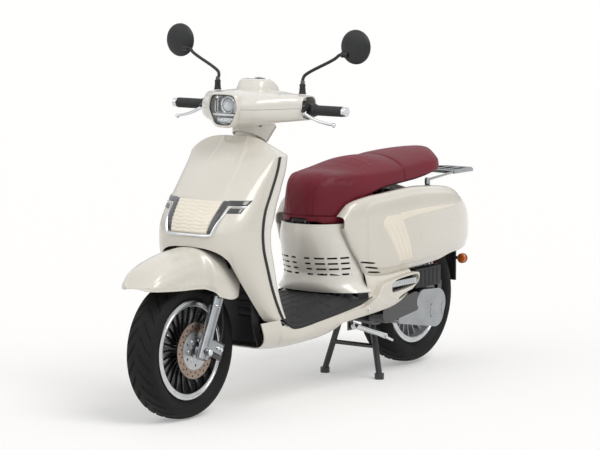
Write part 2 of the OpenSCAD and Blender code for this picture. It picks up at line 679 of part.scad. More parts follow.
module handlebar() color("#9a9da1") {
    fork()
        box([-clamp_x, fork_offset - 20, stem_top], [clamp_x, bar_o + 20, bar_s + 18]);
    bar() {
        cross_rod(-bar_half - weight_l, bar_half + weight_l, 0, 0, bar_r);
        twins()
            cross_rod(bar_half + gap, bar_half + weight_l, 0, 0, grip_d / 2 - 1);
    }
}
// Headset cover: reach forward, reach back and height over the arm's length
arm_front = [[0, -196], [60, -191], [110, -168], [150, -112], [180, -62], [205, -36]];
arm_back = [[0, 80], [100, 76], [150, 60], [205, 46]];
arm_up = [[0, 60], [60, 56], [120, 48], [205, 40]];
arm_down = [[0, 66], [60, 61], [120, 50], [205, 40]];
parting = 6;
function headset_grid(up) = [for (i = [-9:9]) [for (k = [0:14])
    let (x = arm_end * sin(i * 10), r = abs(x), a = k * 180 / 14, f = curve(arm_front, r), b = curve(arm_back, r),
        h = up > 0 ? curve(arm_up, r) : -curve(arm_down, r))
    [x, lerp(f, b, 0.5 - 0.5 * spow(cos(a), 0.72)), parting + up * gap + h * pow(max(sin(a), 0), 0.72)]]];
lamp = [[-32, -48], [32, -48], [60, 8], [47, 53], [-47, 53], [-60, 8]];
lamp_y0 = -202;
module lamp_prism(y0, y1) {
    translate([0, y1, 0])
        rotate([90, 0, 0])
            linear_extrude(y1 - y0)
                polygon(lamp);
}
dial_tilt = 38;
dial_at = [0, 30, 72];
module dial_frame() {
    translate(dial_at)
        rotate([-dial_tilt, 0, 0])
            children();
}
function cap_ring(x, y0, y1, z) = [for (k = [0:23])
    let (a = k * 15)
    [x * spow(cos(a), 0.6), lerp(y0, y1, 0.5 + 0.5 * spow(sin(a), 0.6)), z]];
module headset_upper() color("#f1eee6") {
    bar() {
        difference() {
            panel(headset_grid(1), panel_t);
            lamp_prism(-260, -120);
        }
        twins()
            translate([mirror_foot[0], mirror_foot[1], 30])
                cylinder(r = 13, h = mirror_foot[2] - 30);
        difference() {
            skin([cap_ring(64, -74, 58, 42), cap_ring(60, -70, 56, 66), cap_ring(54, -60, 52, 88), cap_ring(48, -52, 46, 96)]);
            dial_frame()
                translate([0, 60, 50])
                    cube([300, 200, 100], center = true);
        }
    }
}
neck_o = fork_offset + 26;
module neck(w, r, h) {
    translate([0, neck_o, neck_low])
        skin([for (s = [0, h / 2, h]) [for (k = [0:23]) [(w + s * 0.35) * cos(k * 15), (r + s * 0.2) * sin(k * 15), s]]]);
}
module headset_lower() color("#f1eee6") {
    difference() {
        union() {
            bar()
                difference() {
                    panel(headset_grid(-1), -panel_t);
                    lamp_prism(-260, -120);
                }
            fork()
                neck(58, 66, 58);
        }
        fork()
            translate([0, 0, -1])
                neck(58 - panel_t, 66 - panel_t, 80);
    }
    bar()
        twins() {
            box([clamp_x, -20, -32], [106, -8, -20]);
            box([94, -20, parting - curve(arm_down, 106) + panel_t / 2], [106, -8, -20]);
        }
}
module headlight() color("#d8dde2") {
    bar()
        lamp_prism(lamp_y0, -140);
}
module instrument_dial() color("#1a1b1d") {
    bar()
        dial_frame()
            translate([0, 4, 0])
                cylinder(r = 40, h = 5);
}
grip_in = bar_half - grip_l - gap;
module left_grip() color("#1f1f20") {
    bar()
        difference() {
            union() {
                cross_rod(grip_in, bar_half - gap, 0, 0, grip_d / 2 - 1);
                cross_rod(grip_in, grip_in + 6, 0, 0, grip_d / 2 + 4);
                for (k = [0:6])
                    cross_rod(grip_in + 16 + k * 13, grip_in + 22 + k * 13, 0, 0, grip_d / 2);
            }
            cross_rod(grip_in - 1, bar_half + 1, 0, 0, bar_r);
        }
}
module throttle_grip() color("#1f1f20") {
    bar()
        mirror([1, 0, 0])
            difference() {
                union() {
                    cross_rod(grip_in, bar_half - gap, 0, 0, grip_d / 2 - 1);
                    cross_rod(grip_in, grip_in + 6, 0, 0, grip_d / 2 + 4);
                    for (k = [0:6])
                        cross_rod(grip_in + 16 + k * 13, grip_in + 22 + k * 13, 0, 0, grip_d / 2);
                }
                cross_rod(grip_in - 1, bar_half + 1, 0, 0, bar_r + run);
            }
}
lever_tilt = 30;
module lever_frame() {
    translate(lever_pivot)
        rotate([lever_tilt, 0, 0])
            children();
}
perch_in = arm_end + 1;
perch_out = grip_in - gap;
module lever_perches() color("#2b2c2e") {
    bar()
        twins()
            difference() {
                union() {
                    cross_rod(perch_in, perch_out, 0, 0, bar_r + 6);
                    box([perch_in, 0, -12], [perch_out, 26, 14]);
                    lever_frame() {
                        translate([0, 0, 6 + gap])
                            cylinder(r = 8, h = 6);
                        translate([-8, 0, 6 + gap])
                            cube([16, 34, 6]);
                        translate([0, 0, -10])
                            cylinder(r = lever_pin_r, h = 20);
                    }
                }
                cross_rod(perch_in - 1, perch_out + 1, 0, 0, bar_r);
                translate([(perch_in + perch_out) / 2, 18, 4])
                    rotate([-90, 0, 0])
                        cylinder(r = button_r + run, h = 20);
            }
}
module lever() {
    lever_frame()
        difference() {
            union() {
                translate([0, 0, -6])
                    cylinder(r = 9, h = 12);
                rod([2, -2, 0], [46, -18, -16], 5.6);
                rod([46, -18, -16], [112, -12, -34], 5);
                translate([46, -18, -16])
                    sphere(r = 6.2);
                translate([114, -12, -34])
                    sphere(r = 8);
            }
            translate([0, 0, -20])
                cylinder(r = lever_pin_r + run, h = 40);
        }
}
module brake_lever_left() color("#c6c9cc") bar() lever();
module brake_lever_right() color("#c6c9cc") bar() mirror([1, 0, 0]) lever();
module button() {
    translate([(perch_in + perch_out) / 2, 22, 4])
        rotate([-90, 0, 0])
            cylinder(r = button_r, h = 9);
}
module horn_button() color("#c23a2c") bar() button();
module start_button() color("#d8d8d6") bar() mirror([1, 0, 0]) button();
mirror_foot = [arm_end - 27, 4, 52];
mirror_kink = [arm_end - 29, 12, 114];
stem_route = [mirror_foot + [0, 0, 22], mirror_foot + [0, 1, 36], mirror_kink - [1, 2, 12], mirror_kink + [9, 1, 5],
    mirror_pin - [34, 4, 17], mirror_pin - [20, 1, 3], mirror_pin - [11.5, 0, 0]];
module mirror_stems() color("#202123") {
    bar()
        twins() {
            translate(mirror_foot)
                cylinder(r1 = 11, r2 = 8, h = 30);
            skin([for (i = [0:len(stem_route) - 1]) tube_ring(stem_route, i, mirror_pin_r + 1, 12)]);
            cross_rod(mirror_pin[0] - 14, mirror_pin[0] + 12, mirror_pin[1], mirror_pin[2], mirror_pin_r);
        }
}
module mirror_head() {
    head = mirror_pin + [38, 14, 26];
    r = mirror_d / 2;
    difference() {
        union() {
            translate(head)
                rotate([-90, 0, 0])
                    rotate_extrude()
                        polygon(concat([[0, 3]], [[r - 4, 3], [r - 4, 6], [r, 6]],
                            [for (k = [0:6]) [r * cos(k * 15), -20 * sin(k * 15)]]));
            cross_rod(mirror_pin[0] - 8.5, mirror_pin[0] + 18, mirror_pin[1], mirror_pin[2], mirror_pin_r + 5);
        }
        cross_rod(mirror_pin[0] - 20, mirror_pin[0] + 12 + run, mirror_pin[1], mirror_pin[2], mirror_pin_r + run);
    }
    translate(head)
        rotate([-90, 0, 0])
            translate([0, 0, 3])
                cylinder(r = r - 4.5, h = 2.5);
}
module mirror_head_left() color("#242527") bar() mirror_head();
module mirror_head_right() color("#242527") bar() mirror([1, 0, 0]) mirror_head();

// Fork lowers, brake and front wheel
lug_x = leg_x + lower_r + 2;
caliper_x = 80;
module fork_lowers() color("#b4b8bc") {
    fork()
        difference() {
            union() {
                for (s = [-1, 1]) {
                    translate([s * leg_x, 0, -26])
                        cylinder(r = lower_r, h = lower_top + 26);
                    cross_rod(s * leg_x - lower_r - 2, s * leg_x + lower_r + 2, 0, 0, axle_r + 9);
                }
                box([caliper_x, 4, 18], [caliper_x + 9, 104, 52]);
            }
            for (s = [-1, 1])
                translate([s * leg_x, 0, 26])
                    cylinder(r = tube_r + run, h = lower_top);
            cross_rod(-lug_x - 1, lug_x + 1, 0, 0, axle_r);
        }
}
module front_axle() color("#c9cccf") {
    fork() {
        cross_rod(-lug_x - 6, lug_x + 6, 0, 0, axle_r);
        for (s = [-1, 1])
            cross_rod(s * (lug_x + 4) - 4, s * (lug_x + 4) + 4, 0, 0, axle_r + 4);
    }
}
disc_x = 58;
disc_t = 4;
module brake_caliper() color("#8b8e92") {
    fork()
        difference() {
            union() {
                box([47, 62, 2], [caliper_x, 120, 60]);
                cross_rod(38, 48, 96, 20, 12);
                cross_rod(38, 48, 96, 45, 12);
            }
            box([disc_x - 3, 40, -10], [disc_x + disc_t + 3, disc_d / 2 + 6, 90]);
        }
}
// Tube along a route, square at both ends
function tube_ring(route, i, r, n) =
    let (p = route[i], d = unit(route[min(i + 1, len(route) - 1)] - route[max(i - 1, 0)]), u = unit(cross([0, 1, 0.01], d)), v = cross(d, u))
    [for (k = [0:n - 1]) p + r * (cos(k * 360 / n) * u + sin(k * 360 / n) * v)];
module brake_hose() color("#19191a") {
    fork()
        skin([for (i = [0:len(hose_route) - 1]) tube_ring(hose_route, i, hose_r, 8)]);
}
// Tyre section: radius against distance from the middle plane
function tyre_outline(d, w, seat_w) =
    let (r = d / 2, c = (r + rim_r + 14) / 2, a = r - c, outer = [for (k = [-7:7]) k * 18], inner = [for (k = [6:-1:-6]) k * 19])
    concat([[rim_r, -seat_w / 2 + 10], [rim_r, -seat_w / 2], [rim_r + flange_h + 2, -seat_w / 2]],
        [for (q = outer) [c + a * spow(cos(q), 0.8), w / 2 * spow(sin(q), 0.8)]],
        [[rim_r + flange_h + 2, seat_w / 2], [rim_r, seat_w / 2], [rim_r, seat_w / 2 - 10]],
        [for (q = inner) [c + (a - 10) * spow(cos(q), 0.8), (w / 2 - 8) * spow(sin(q), 0.8)]]);
module tyre(d, w, seat_w) {
    rotate([0, 90, 0])
        rotate_extrude($fn = 96)
            polygon(tyre_outline(d, w, seat_w));
}
module rim(seat_w, hub_r, hub_half, bore_r) {
    rotate([0, 90, 0])
        difference() {
            union() {
                rotate_extrude($fn = 96)
                    polygon([[rim_r - 8, -seat_w / 2 - 6], [rim_r + flange_h, -seat_w / 2 - 6], [rim_r + flange_h, -seat_w / 2],
                        [rim_r, -seat_w / 2], [rim_r, seat_w / 2], [rim_r + flange_h, seat_w / 2],
                        [rim_r + flange_h, seat_w / 2 + 6], [rim_r - 8, seat_w / 2 + 6]]);
                cylinder(r = hub_r, h = 2 * hub_half, center = true);
                for (k = [0:fins - 1])
                    rotate([0, 0, k * 360 / fins])
                        translate([hub_r - 4, -3.5, -16])
                            cube([rim_r - hub_r - 1, 7, 32]);
            }
            cylinder(r = bore_r, h = 4 * hub_half, center = true);
        }
}
module at_front() {
    translate([0, fy, front_r])
        children();
}
module at_rear() {
    translate([0, ry, rear_z])
        children();
}
module front_tyre() color("#1c1c1d") at_front() tyre(front_tyre_d, front_tyre_w, rim_w);
hub_half = leg_x - lower_r - 2 - 4;
module front_rim() color("#1b1b1c") {
    at_front()
        intersection() {
            rim(rim_w, 40, hub_half, axle_r + run);
            cross_rod(-hub_half, disc_x, 0, 0, rim_r * 2);
        }
}
module brake_disc() color("#8d7f76") {
    at_front()
        difference() {
            cross_rod(disc_x, disc_x + disc_t, 0, 0, disc_d / 2);
            cross_rod(disc_x - 1, disc_x + disc_t + 1, 0, 0, axle_r + 6);
            for (ring = [0, 1], k = [0:17])
                rotate([k * 20 + ring * 10, 0, 0])
                    cross_rod(disc_x - 1, disc_x + disc_t + 1, disc_d / 2 - 10 - ring * 11, 0, 3);
        }
}

// Engine unit on its swing pivot
case_x0 = 76;
case_x1 = 100;
case_x2 = 168;
arm = [[-290, 250], [-286, 300], [-20, 300], [2, 270], [90, 268], [96, 212], [46, 190], [-250, 205], [-284, 222]];
module belt_cover(x0, x1, grow) {
    hull() {
        cross_rod(x0, x1, ry - 130, 267, 32 + grow);
        cross_rod(x0, x1, ry - 40, 240, 54 + grow);
        cross_rod(x0, x1, ry - 50, 208, 52 + grow);
        cross_rod(x0, x1 - 8, ry - 262, 205, 14 + grow);
    }
}
module crankcase() color("#1e1f20") {
    difference() {
        union() {
            box([-72, ry - 410, 236], [72, ry - 255, 330]);
            cross_rod(-plate_x + plate_t / 2 + 1, plate_x - plate_t / 2 - 1, pivot_y, pivot_z, pivot_r + 8);
            box([-40, pivot_y, pivot_z - 14], [40, ry - 400, pivot_z + 14]);
            side_plate(case_x0, case_x1, [for (p = arm) [ry + p[0], p[1]]]);
            box([60, ry - 330, 245], [case_x0 + 4, ry - 262, 320]);
            side_plate(-case_x1, -case_x0, [[ry - 288, 250], [ry - 288, 290], [ry + 26, 268], [ry + 26, 220], [ry - 280, 240]]);
            box([-case_x0 - 4, ry - 320, 245], [-60, ry - 262, 285]);
            difference() {
                hull() {
                    cross_rod(case_x1 - 2, case_x2, ry - 360, 240, 33);
                    cross_rod(case_x1 - 2, case_x2, ry - 190, 264, 35);
                }
                belt_cover(case_x1, case_x2 + 1, gap);
            }
        }
        cross_rod(-plate_x, plate_x, pivot_y, pivot_z, pivot_r + run);
        cross_rod(-case_x1 - 1, case_x1 + 1, ry, rear_z, shaft_r + run);
    }
    cross_rod(shock_x + 14, shock_x + 28, shock_lo[1], shock_lo[2], 13);
    box([shock_x - 4, shock_lo[1] - 14, 255], [shock_x + 28, shock_lo[1] + 14, 267]);
    box([shock_x + 14, shock_lo[1] - 12, 255], [shock_x + 28, shock_lo[1] + 12, shock_lo[2]]);
    cross_rod(shock_x - 12, shock_x + 16, shock_lo[1], shock_lo[2], shock_pin_r);
}
module cylinder_head() color("#6f7276") {
    for (k = [0:6])
        box([-58, ry - 418 - 12 * k - 6, 298], [58, ry - 418 - 12 * k, 372]);
    box([-44, ry - 500, 304], [44, ry - 410, 364]);
}
module transmission_cover() color("#a9acaf") {
    difference() {
        belt_cover(case_x1, case_x2 - 4, 0);
        cross_rod(case_x1 - 1, case_x1 + 22, ry, rear_z, shaft_r + 3);
    }
}
module air_filter_box() color("#1b1b1c") {
    box([116, ry - 160, 304], [150, ry + 4, 374]);
    box([case_x0 + 4, ry - 130, 300], [120, ry - 30, 314]);
}
module exhaust() color("#3a3b3d") {
    rod([-150, ry - 320, 198], [-160, ry + 90, 250], 44);
    rod([-112, ry - 452, 336], [-144, ry - 310, 204], 13.4);
    cross_rod(-112, -58, ry - 452, 336, 13);
    translate([-112, ry - 452, 336])
        sphere(r = 15);
    box([-150, ry - 150, 240], [-case_x1, ry - 110, 262]);
}
module rear_tyre() color("#1c1c1d") at_rear() tyre(rear_tyre_d, rear_tyre_w, rim_w);
module rear_rim() color("#b3b6b9") {
    at_rear() {
        rim(rim_w, 42, 62, shaft_r + run);
        cross_rod(-case_x1 - 6, case_x1 + 14, 0, 0, shaft_r);
    }
}

// Shock absorber: z runs down from the upper eye
module shock() {
    translate(shock_hi)
        rotate([180 + shock_tilt, 0, 0])
            children();
}
module shock_body() color("#2e2f31") {
    shock()
        difference() {
            union() {
                cross_rod(-11, 11, 0, 0, shock_pin_r + 6);
                translate([0, 0, 6])
                    cylinder(r = 9, h = 20);
                translate([0, 0, spring_top - 16])
                    cylinder(r = spring_d / 2 + 1, h = 16);
                translate([0, 0, spring_top - 4])
                    cylinder(r = 14, h = 130);
            }
            cross_rod(-12, 12, 0, 0, shock_pin_r + run);
            translate([0, 0, spring_top + 20])
                cylinder(r = 6 + run, h = 140);
        }
}
module shock_rod() color("#c2c6ca") {
    shock() {
        translate([0, 0, spring_top + 20 + shock_travel + 6])
            cylinder(r = 6, h = shock_len - spring_top - 20 - shock_travel - 14);
        translate([0, 0, spring_low])
            cylinder(r = spring_d / 2 + 1, h = 10);
        translate([0, 0, spring_low + 4])
            cylinder(r = 9, h = 33);
        difference() {
            translate([0, 0, shock_len])
                rotate([0, 90, 0])
                    cylinder(r = shock_pin_r + 7, h = 22, center = true);
            translate([0, 0, shock_len])
                rotate([0, 90, 0])
                    cylinder(r = shock_pin_r + 1.2, h = 30, center = true);
        }
    }
}
// Spring wire: its ends run straight against the seats
helix_r = (spring_d - wire_d) / 2;
spring_h = spring_low - spring_top;
coil_rings = 8 * coils;
coil_path = concat([[helix_r, 0, 0], [helix_r, 0, wire_d]],
    [for (k = [1:coil_rings]) [helix_r * cos(k * 45), helix_r * sin(k * 45), lerp(wire_d, spring_h - wire_d, k / coil_rings)]],
    [[helix_r, 0, spring_h]]);
coil_gap = min([for (i = [0:coil_rings - 8]) norm(coil_path[i + 9] - coil_path[i + 1])]) - wire_d;
echo(least_spring_gap = coil_gap);
module shock_spring() color("#9b2d2a") {
    shock()
        translate([0, 0, spring_top])
            skin([for (i = [0:len(coil_path) - 1]) coil_ring(i)]);
}
function coil_ring(i) =
    let (n = len(coil_path) - 1, p = coil_path[i],
        d = i <= 0 || i >= n ? [0, 0, 1] : unit(coil_path[i + 1] - coil_path[i - 1]), c = unit([p[0], p[1], 0]),
        u = unit(c - d * (c * d)), v = cross(d, u))
    [for (k = [0:5]) p + wire_d / 2 * (cos(k * 60) * u + sin(k * 60) * v)];

// Stands, seat and footpegs
foot_x = 118;
foot_y = stand_y - 26;
foot_h = 14;
module center_stand() color("#232426") {
    difference() {
        cross_rod(-plate_x + plate_t / 2 + 1, plate_x - plate_t / 2 - 1, stand_y, stand_z, stand_pin_r + 6);
        cross_rod(-plate_x, plate_x, stand_y, stand_z, stand_pin_r + run);
    }
    twins() {
        rod([68, stand_y - 1, stand_z - 11], [foot_x, foot_y, foot_h], 11);
        translate([foot_x, foot_y, 0])
            cylinder(r = 17, h = foot_h + 6);
    }
    cross_rod(-92, 92, lerp(stand_y, foot_y, 0.5), lerp(stand_z, foot_h, 0.5), 8);
}
// Side stand: z is its hinge axis, y runs along the folded leg
module side_frame() {
    translate(side_pivot)
        rotate([0, 70, 0])
            children();
}
module side_stand() color("#c9cccf") {
    difference() {
        union() {
            side_frame()
                translate([0, 0, 1])
                    cylinder(r = 13, h = 12);
            rod(side_pivot + [9, 4, 2], side_pivot + [14, side_l - 30, -54], 10);
            translate(side_pivot + [14, side_l - 30, -54])
                sphere(r = 11);
            translate(side_pivot + [14, side_l - 18, -64])
                rotate([-22, 8, 0])
                    cube([26, 52, 8], center = true);
        }
        side_frame()
            translate([0, 0, -20])
                cylinder(r = 6 + run, h = 60);
    }
}
// Right half of a section from its foot up: skirt, side, edge and crowned top
function seat_side(w, lo, hi, edge, skirt, lip) =
    let (e = w - 6 - 0.08 * (edge - lo))
    [[w - 10, lo - skirt + lip], [w - 10, lo - skirt], [w - 2, lo - skirt], [w, lo - skirt + 4], [w, lerp(lo, edge, 0.45)],
        [e + 3, edge - 5], [e - 2, edge + 1], [0.74 * e, lerp(edge, hi, 0.5)], [0.42 * e, lerp(edge, hi, 0.85)]];
function seat_section(y, w, lo, hi, edge, skirt, lip) =
    let (half = seat_side(w, lo, hi, edge, skirt, lip))
    concat([for (p = half) [p[0], ry + y, p[1]]], [[0, ry + y, hi]],
        [for (k = [len(half) - 1:-1:0]) [-half[k][0], ry + y, half[k][1]]]);
seat_y = [-668, -665, -655, -640, -620, -590, -560, -520, -480, -430, -380, -320, -260, seat_seam - 7, seat_seam,
    seat_seam + 7, -180, -110, -40, 30, 70, 105, 132, 150];
module seat_cushion() color("#7a2836") {
    skin([for (k = [len(seat_y) - 1:-1:0])
        let (y = seat_y[k], d = y == seat_seam ? 5 : 0, skirt = curve(seat_skirt, y))
        seat_section(y, curve(seat_half, y) - d, curve(seat_under, y) + seat_pan_t, curve(seat_crown, y) - d,
            curve(seat_edge, y) - d, skirt, k == 0 ? 1 : skirt)]);
}
pan_grid = [for (y = seat_y) if (y > -650 && y < 140) [for (k = [-3:3])
    [(curve(seat_half, y) * 0.86 - 8) * k / 3, ry + y, curve(seat_under, y) + seat_pan_t]]];
module seat_pan() color("#232324") {
    panel(pan_grid, -seat_pan_t + 2);
    twins()
        translate([86, ry - 290, bucket_lip + 4 + gap])
            cylinder(r = 10, h = curve(seat_under, -290) - bucket_lip);
    difference() {
        union() {
            cross_rod(-22, 22, hinge_y, hinge_z, hinge_pin_r + 4);
            box([-22, hinge_y - 4, hinge_z], [22, hinge_y + 24, seat_under[0][1] + 4]);
        }
        cross_rod(-50, 50, hinge_y, hinge_z, hinge_pin_r + run);
    }
}
module footpeg() {
    difference() {
        union() {
            translate([peg_x, peg_y, peg_z - 10])
                cylinder(r = 9, h = 20);
            box([peg_x - 7, peg_y, peg_z - 10], [peg_x + 9, peg_y + peg_l, peg_z + 10]);
        }
        translate([peg_x, peg_y, peg_z - 30])
            cylinder(r = peg_pin_r + run, h = 60);
    }
}
module footpeg_left() color("#c4c7ca") footpeg();
module footpeg_right() color("#c4c7ca") mirror([1, 0, 0]) footpeg();

main_frame();
front_shield();
inner_shield();
shield_trim();
grille_panel();
grille_surround();
front_signals();
floor_pan();
floor_mat();
splash_guard();
seat_box();
cowl_left();
cowl_right();
helmet_bucket();
rear_rack();
tail_lamp();
rear_mudguard();
rear_signals();
body_screws();
steering_yoke();
fork_tubes();
front_fender();
handlebar();
headset_upper();
headset_lower();
headlight();
instrument_dial();
left_grip();
lever_perches();
mirror_stems();
throttle_grip();
brake_lever_left();
brake_lever_right();
horn_button();
start_button();
mirror_head_left();
mirror_head_right();
fork_lowers();
front_axle();
brake_caliper();
brake_hose();
front_tyre();
front_rim();
brake_disc();
crankcase();
cylinder_head();
transmission_cover();
air_filter_box();
exhaust();
rear_tyre();
rear_rim();
shock_body();
shock_rod();
shock_spring();
center_stand();
side_stand();
seat_pan();
seat_cushion();
footpeg_left();
footpeg_right();
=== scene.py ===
import json
import math

import bmesh
import bpy
import numpy as np
from mathutils import Matrix, Vector

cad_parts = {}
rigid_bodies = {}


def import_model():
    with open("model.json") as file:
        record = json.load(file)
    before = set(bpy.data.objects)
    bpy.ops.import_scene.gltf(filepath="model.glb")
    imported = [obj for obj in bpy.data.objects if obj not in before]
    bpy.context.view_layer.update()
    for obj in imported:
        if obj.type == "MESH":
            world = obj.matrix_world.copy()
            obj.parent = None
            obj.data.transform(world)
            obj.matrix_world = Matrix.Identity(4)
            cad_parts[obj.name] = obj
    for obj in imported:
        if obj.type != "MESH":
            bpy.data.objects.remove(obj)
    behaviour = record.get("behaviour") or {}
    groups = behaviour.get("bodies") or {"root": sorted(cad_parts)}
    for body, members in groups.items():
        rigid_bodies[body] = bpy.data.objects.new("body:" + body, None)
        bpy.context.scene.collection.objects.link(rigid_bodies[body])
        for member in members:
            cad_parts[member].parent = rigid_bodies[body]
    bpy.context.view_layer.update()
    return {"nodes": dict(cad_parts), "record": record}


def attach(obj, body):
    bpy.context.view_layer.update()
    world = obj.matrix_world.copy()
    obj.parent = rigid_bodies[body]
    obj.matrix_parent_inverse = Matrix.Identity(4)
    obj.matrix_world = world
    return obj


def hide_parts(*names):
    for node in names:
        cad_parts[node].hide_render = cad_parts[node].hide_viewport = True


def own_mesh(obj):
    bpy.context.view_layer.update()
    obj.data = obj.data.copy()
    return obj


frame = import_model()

NODES = frame["nodes"]
BODY_OF = {n: b for b, members in frame["record"]["behaviour"]["bodies"].items() for n in members}
SLOT_OF = {row["node"]: row["material_slot"] for row in frame["record"]["subparts"]}

# The machine's main places, in millimetres: front axle, rear axle, handlebar middle
FRONT_Y, FRONT_Z = -719.0, 229.5
REAR_Y, REAR_Z = 601.0, 244.0
RAKE = math.radians(25)
BAR = np.array([0.0, -289.393, 994.627])
WALL = 3.5
TRIM = 12.0


# Curves and grids
def curve(table, x):
    """Smooth curve through the rows of a table, as in the part's source."""
    t = np.asarray(table, float)
    x = np.clip(x, t[0, 0], t[-1, 0])
    i = np.clip(np.searchsorted(t[:, 0], x, side="right") - 1, 0, len(t) - 2)
    rank = np.arange(len(t))
    lo, hi = np.maximum(rank - 1, 0), np.minimum(rank + 1, len(t) - 1)
    rise = (t[hi, 1] - t[lo, 1]) / (t[hi, 0] - t[lo, 0])
    h = t[i + 1, 0] - t[i, 0]
    s = (x - t[i, 0]) / h
    return (t[i, 1] * (2 * s**3 - 3 * s**2 + 1) + rise[i] * h * (s**3 - 2 * s**2 + s)
            + t[i + 1, 1] * (3 * s**2 - 2 * s**3) + rise[i + 1] * h * (s**3 - s**2))


def spow(c, e):
    return np.sign(c) * np.abs(c) ** e


def lerp(a, b, t):
    return a + (b - a) * t


def ease(lo, hi, x):
    s = np.clip((x - lo) / (hi - lo), 0, 1)
    return s * s * (3 - 2 * s)


def stack(x, y, z):
    return np.stack(np.broadcast_arrays(x, y, z), axis=-1).astype(float)


def fork(x, o, s):
    """Point in the fork's frame: across, ahead of the legs, up along them."""
    return stack(x, FRONT_Y + o * math.cos(RAKE) + s * math.sin(RAKE),
                 FRONT_Z - o * math.sin(RAKE) + s * math.cos(RAKE))


def unit(v):
    return v / np.maximum(np.linalg.norm(v, axis=-1, keepdims=True), 1e-9)


def normals(grid):
    return unit(np.cross(np.gradient(grid, axis=1), np.gradient(grid, axis=0)))


def sheet(grid):
    """Faces over a grid of points."""
    m, n = grid.shape[:2]
    i, j = np.meshgrid(np.arange(m - 1), np.arange(n - 1), indexing="ij")
    a = (i * n + j).ravel()
    quads = np.stack([a, a + 1, a + n + 1, a + n], axis=1)
    return grid.reshape(-1, 3), quads.tolist()


def shell(outer, inner):
    """Closed wall between two grids."""
    m, n = outer.shape[:2]
    k = m * n
    front = sheet(outer)[1]
    back = [[q + k for q in f[::-1]] for f in front]
    ring = ([j for j in range(n)] + [i * n + n - 1 for i in range(1, m)]
            + [(m - 1) * n + j for j in range(n - 2, -1, -1)] + [i * n for i in range(m - 2, 0, -1)])
    rim = [[b, a, a + k, b + k] for a, b in zip(ring, ring[1:] + ring[:1])]
    return np.vstack([outer.reshape(-1, 3), inner.reshape(-1, 3)]), front + back + rim


def panel(grid, wall):
    """Closed wall that follows a grid, its thickness along the grid's normals."""
    return shell(grid, grid + wall * normals(grid))


def loft(rings, cap=True):
    """Closed body through rings of points."""
    rings = np.asarray(rings, float)
    m, n = rings.shape[:2]
    faces = [[i * n + j, i * n + (j + 1) % n, (i + 1) * n + (j + 1) % n, (i + 1) * n + j]
             for i in range(m - 1) for j in range(n)]
    if cap:
        faces += [list(range(n))[::-1], [(m - 1) * n + j for j in range(n)]]
    return rings.reshape(-1, 3), faces


def tube(path, radius, sides=14):
    """Round tube along a path, with one radius or one for each point."""
    path = np.asarray(path, float)
    radius = np.broadcast_to(radius, len(path))
    ways = unit(np.gradient(path, axis=0))
    side = np.cross(ways[0], [0.31, 0.2, 0.93])
    rings = []
    turn = np.linspace(0, 2 * math.pi, sides, endpoint=False)
    for p, w, r in zip(path, ways, radius):
        side = unit(side - w * np.dot(side, w))
        up = np.cross(w, side)
        rings.append(p + r * (np.cos(turn)[:, None] * side + np.sin(turn)[:, None] * up))
    return loft(rings)


def spin(profile, centre, axis=(1, 0, 0), steps=96, closed=True):
    """Turned body: profile rows are radius and place along the axis."""
    axis = unit(np.asarray(axis, float))
    u = unit(np.cross(axis, [0.0, 0.3, 0.9]))
    v = np.cross(axis, u)
    turn = np.linspace(0, 2 * math.pi, steps, endpoint=False)
    ring = np.cos(turn)[:, None] * u + np.sin(turn)[:, None] * v
    rings = np.array([np.asarray(centre) + r * ring + h * axis for r, h in profile])
    if closed:
        rings = np.concatenate([rings, rings[:1]])
    return loft(rings, not closed)


def rounded(p, q, r=3.0):
    """Box between two corners with rounded edges."""
    p, q = np.asarray(p, float), np.asarray(q, float)
    mid, half = (p + q) / 2, np.abs(q - p) / 2
    r = min(r, *(half * 0.98))
    lat = np.radians([-90, -68, -45, -22, 0, 0, 22, 45, 68, 90])
    lon = np.radians(np.arange(0, 90.1, 22.5))
    rings = []
    for k, a in enumerate(lat):
        row = []
        for quarter in range(4):
            sx, sy = ((1, 1), (-1, 1), (-1, -1), (1, -1))[quarter]
            for b in lon:
                t = b + quarter * math.pi / 2
                row.append([sx * (half[0] - r) + r * math.cos(a) * math.cos(t),
                            sy * (half[1] - r) + r * math.cos(a) * math.sin(t),
                            (-1 if k < 5 else 1) * (half[2] - r) + r * math.sin(a)])
        rings.append(row)
    return loft(np.asarray(rings) + mid)


def mirrored(part):
    verts, faces = part[:2]
    return (np.asarray(verts) * [-1, 1, 1], [list(f)[::-1] for f in faces]) + tuple(part[2:])


# Making pieces
def as_mesh(name, parts, weld=0.02, angle=38):
    """One mesh from parts of (points in mm, faces, material)."""
    verts, faces, marks, finishes = [], [], [], []
    base = 0
    for points, polys, mat in parts:
        if mat not in finishes:
            finishes.append(mat)
        verts.append(np.asarray(points, float) / 1000)
        faces += [[base + k for k in f] for f in polys]
        marks += [finishes.index(mat)] * len(polys)
        base += len(points)
    mesh = bpy.data.meshes.new(name)
    mesh.from_pydata(np.vstack(verts).tolist(), [], faces)
    for mat in finishes:
        mesh.materials.append(mat)
    mesh.polygons.foreach_set("material_index", marks)
    bm = bmesh.new()
    bm.from_mesh(mesh)
    bmesh.ops.remove_doubles(bm, verts=bm.verts, dist=weld / 1000)
    bmesh.ops.recalc_face_normals(bm, faces=bm.faces)
    bm.to_mesh(mesh)
    bm.free()
    mesh.shade_smooth()
    mesh.set_sharp_from_angle(angle=math.radians(angle))
    return mesh


def build(name, parts, body, nodes=(), bevel=0.0, angle=38, limit=32):
    """Piece that rides on a body and stands for the CAD nodes it names."""
    obj = bpy.data.objects.new(name, as_mesh(name, parts, angle=angle))
    bpy.context.scene.collection.objects.link(obj)
    if bevel:
        mod = obj.modifiers.new("edges", "BEVEL")
        mod.width, mod.segments = bevel / 1000, 2
        mod.limit_method, mod.angle_limit = "ANGLE", math.radians(limit)
    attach(obj, body)
    if nodes:
        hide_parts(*nodes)
    return obj


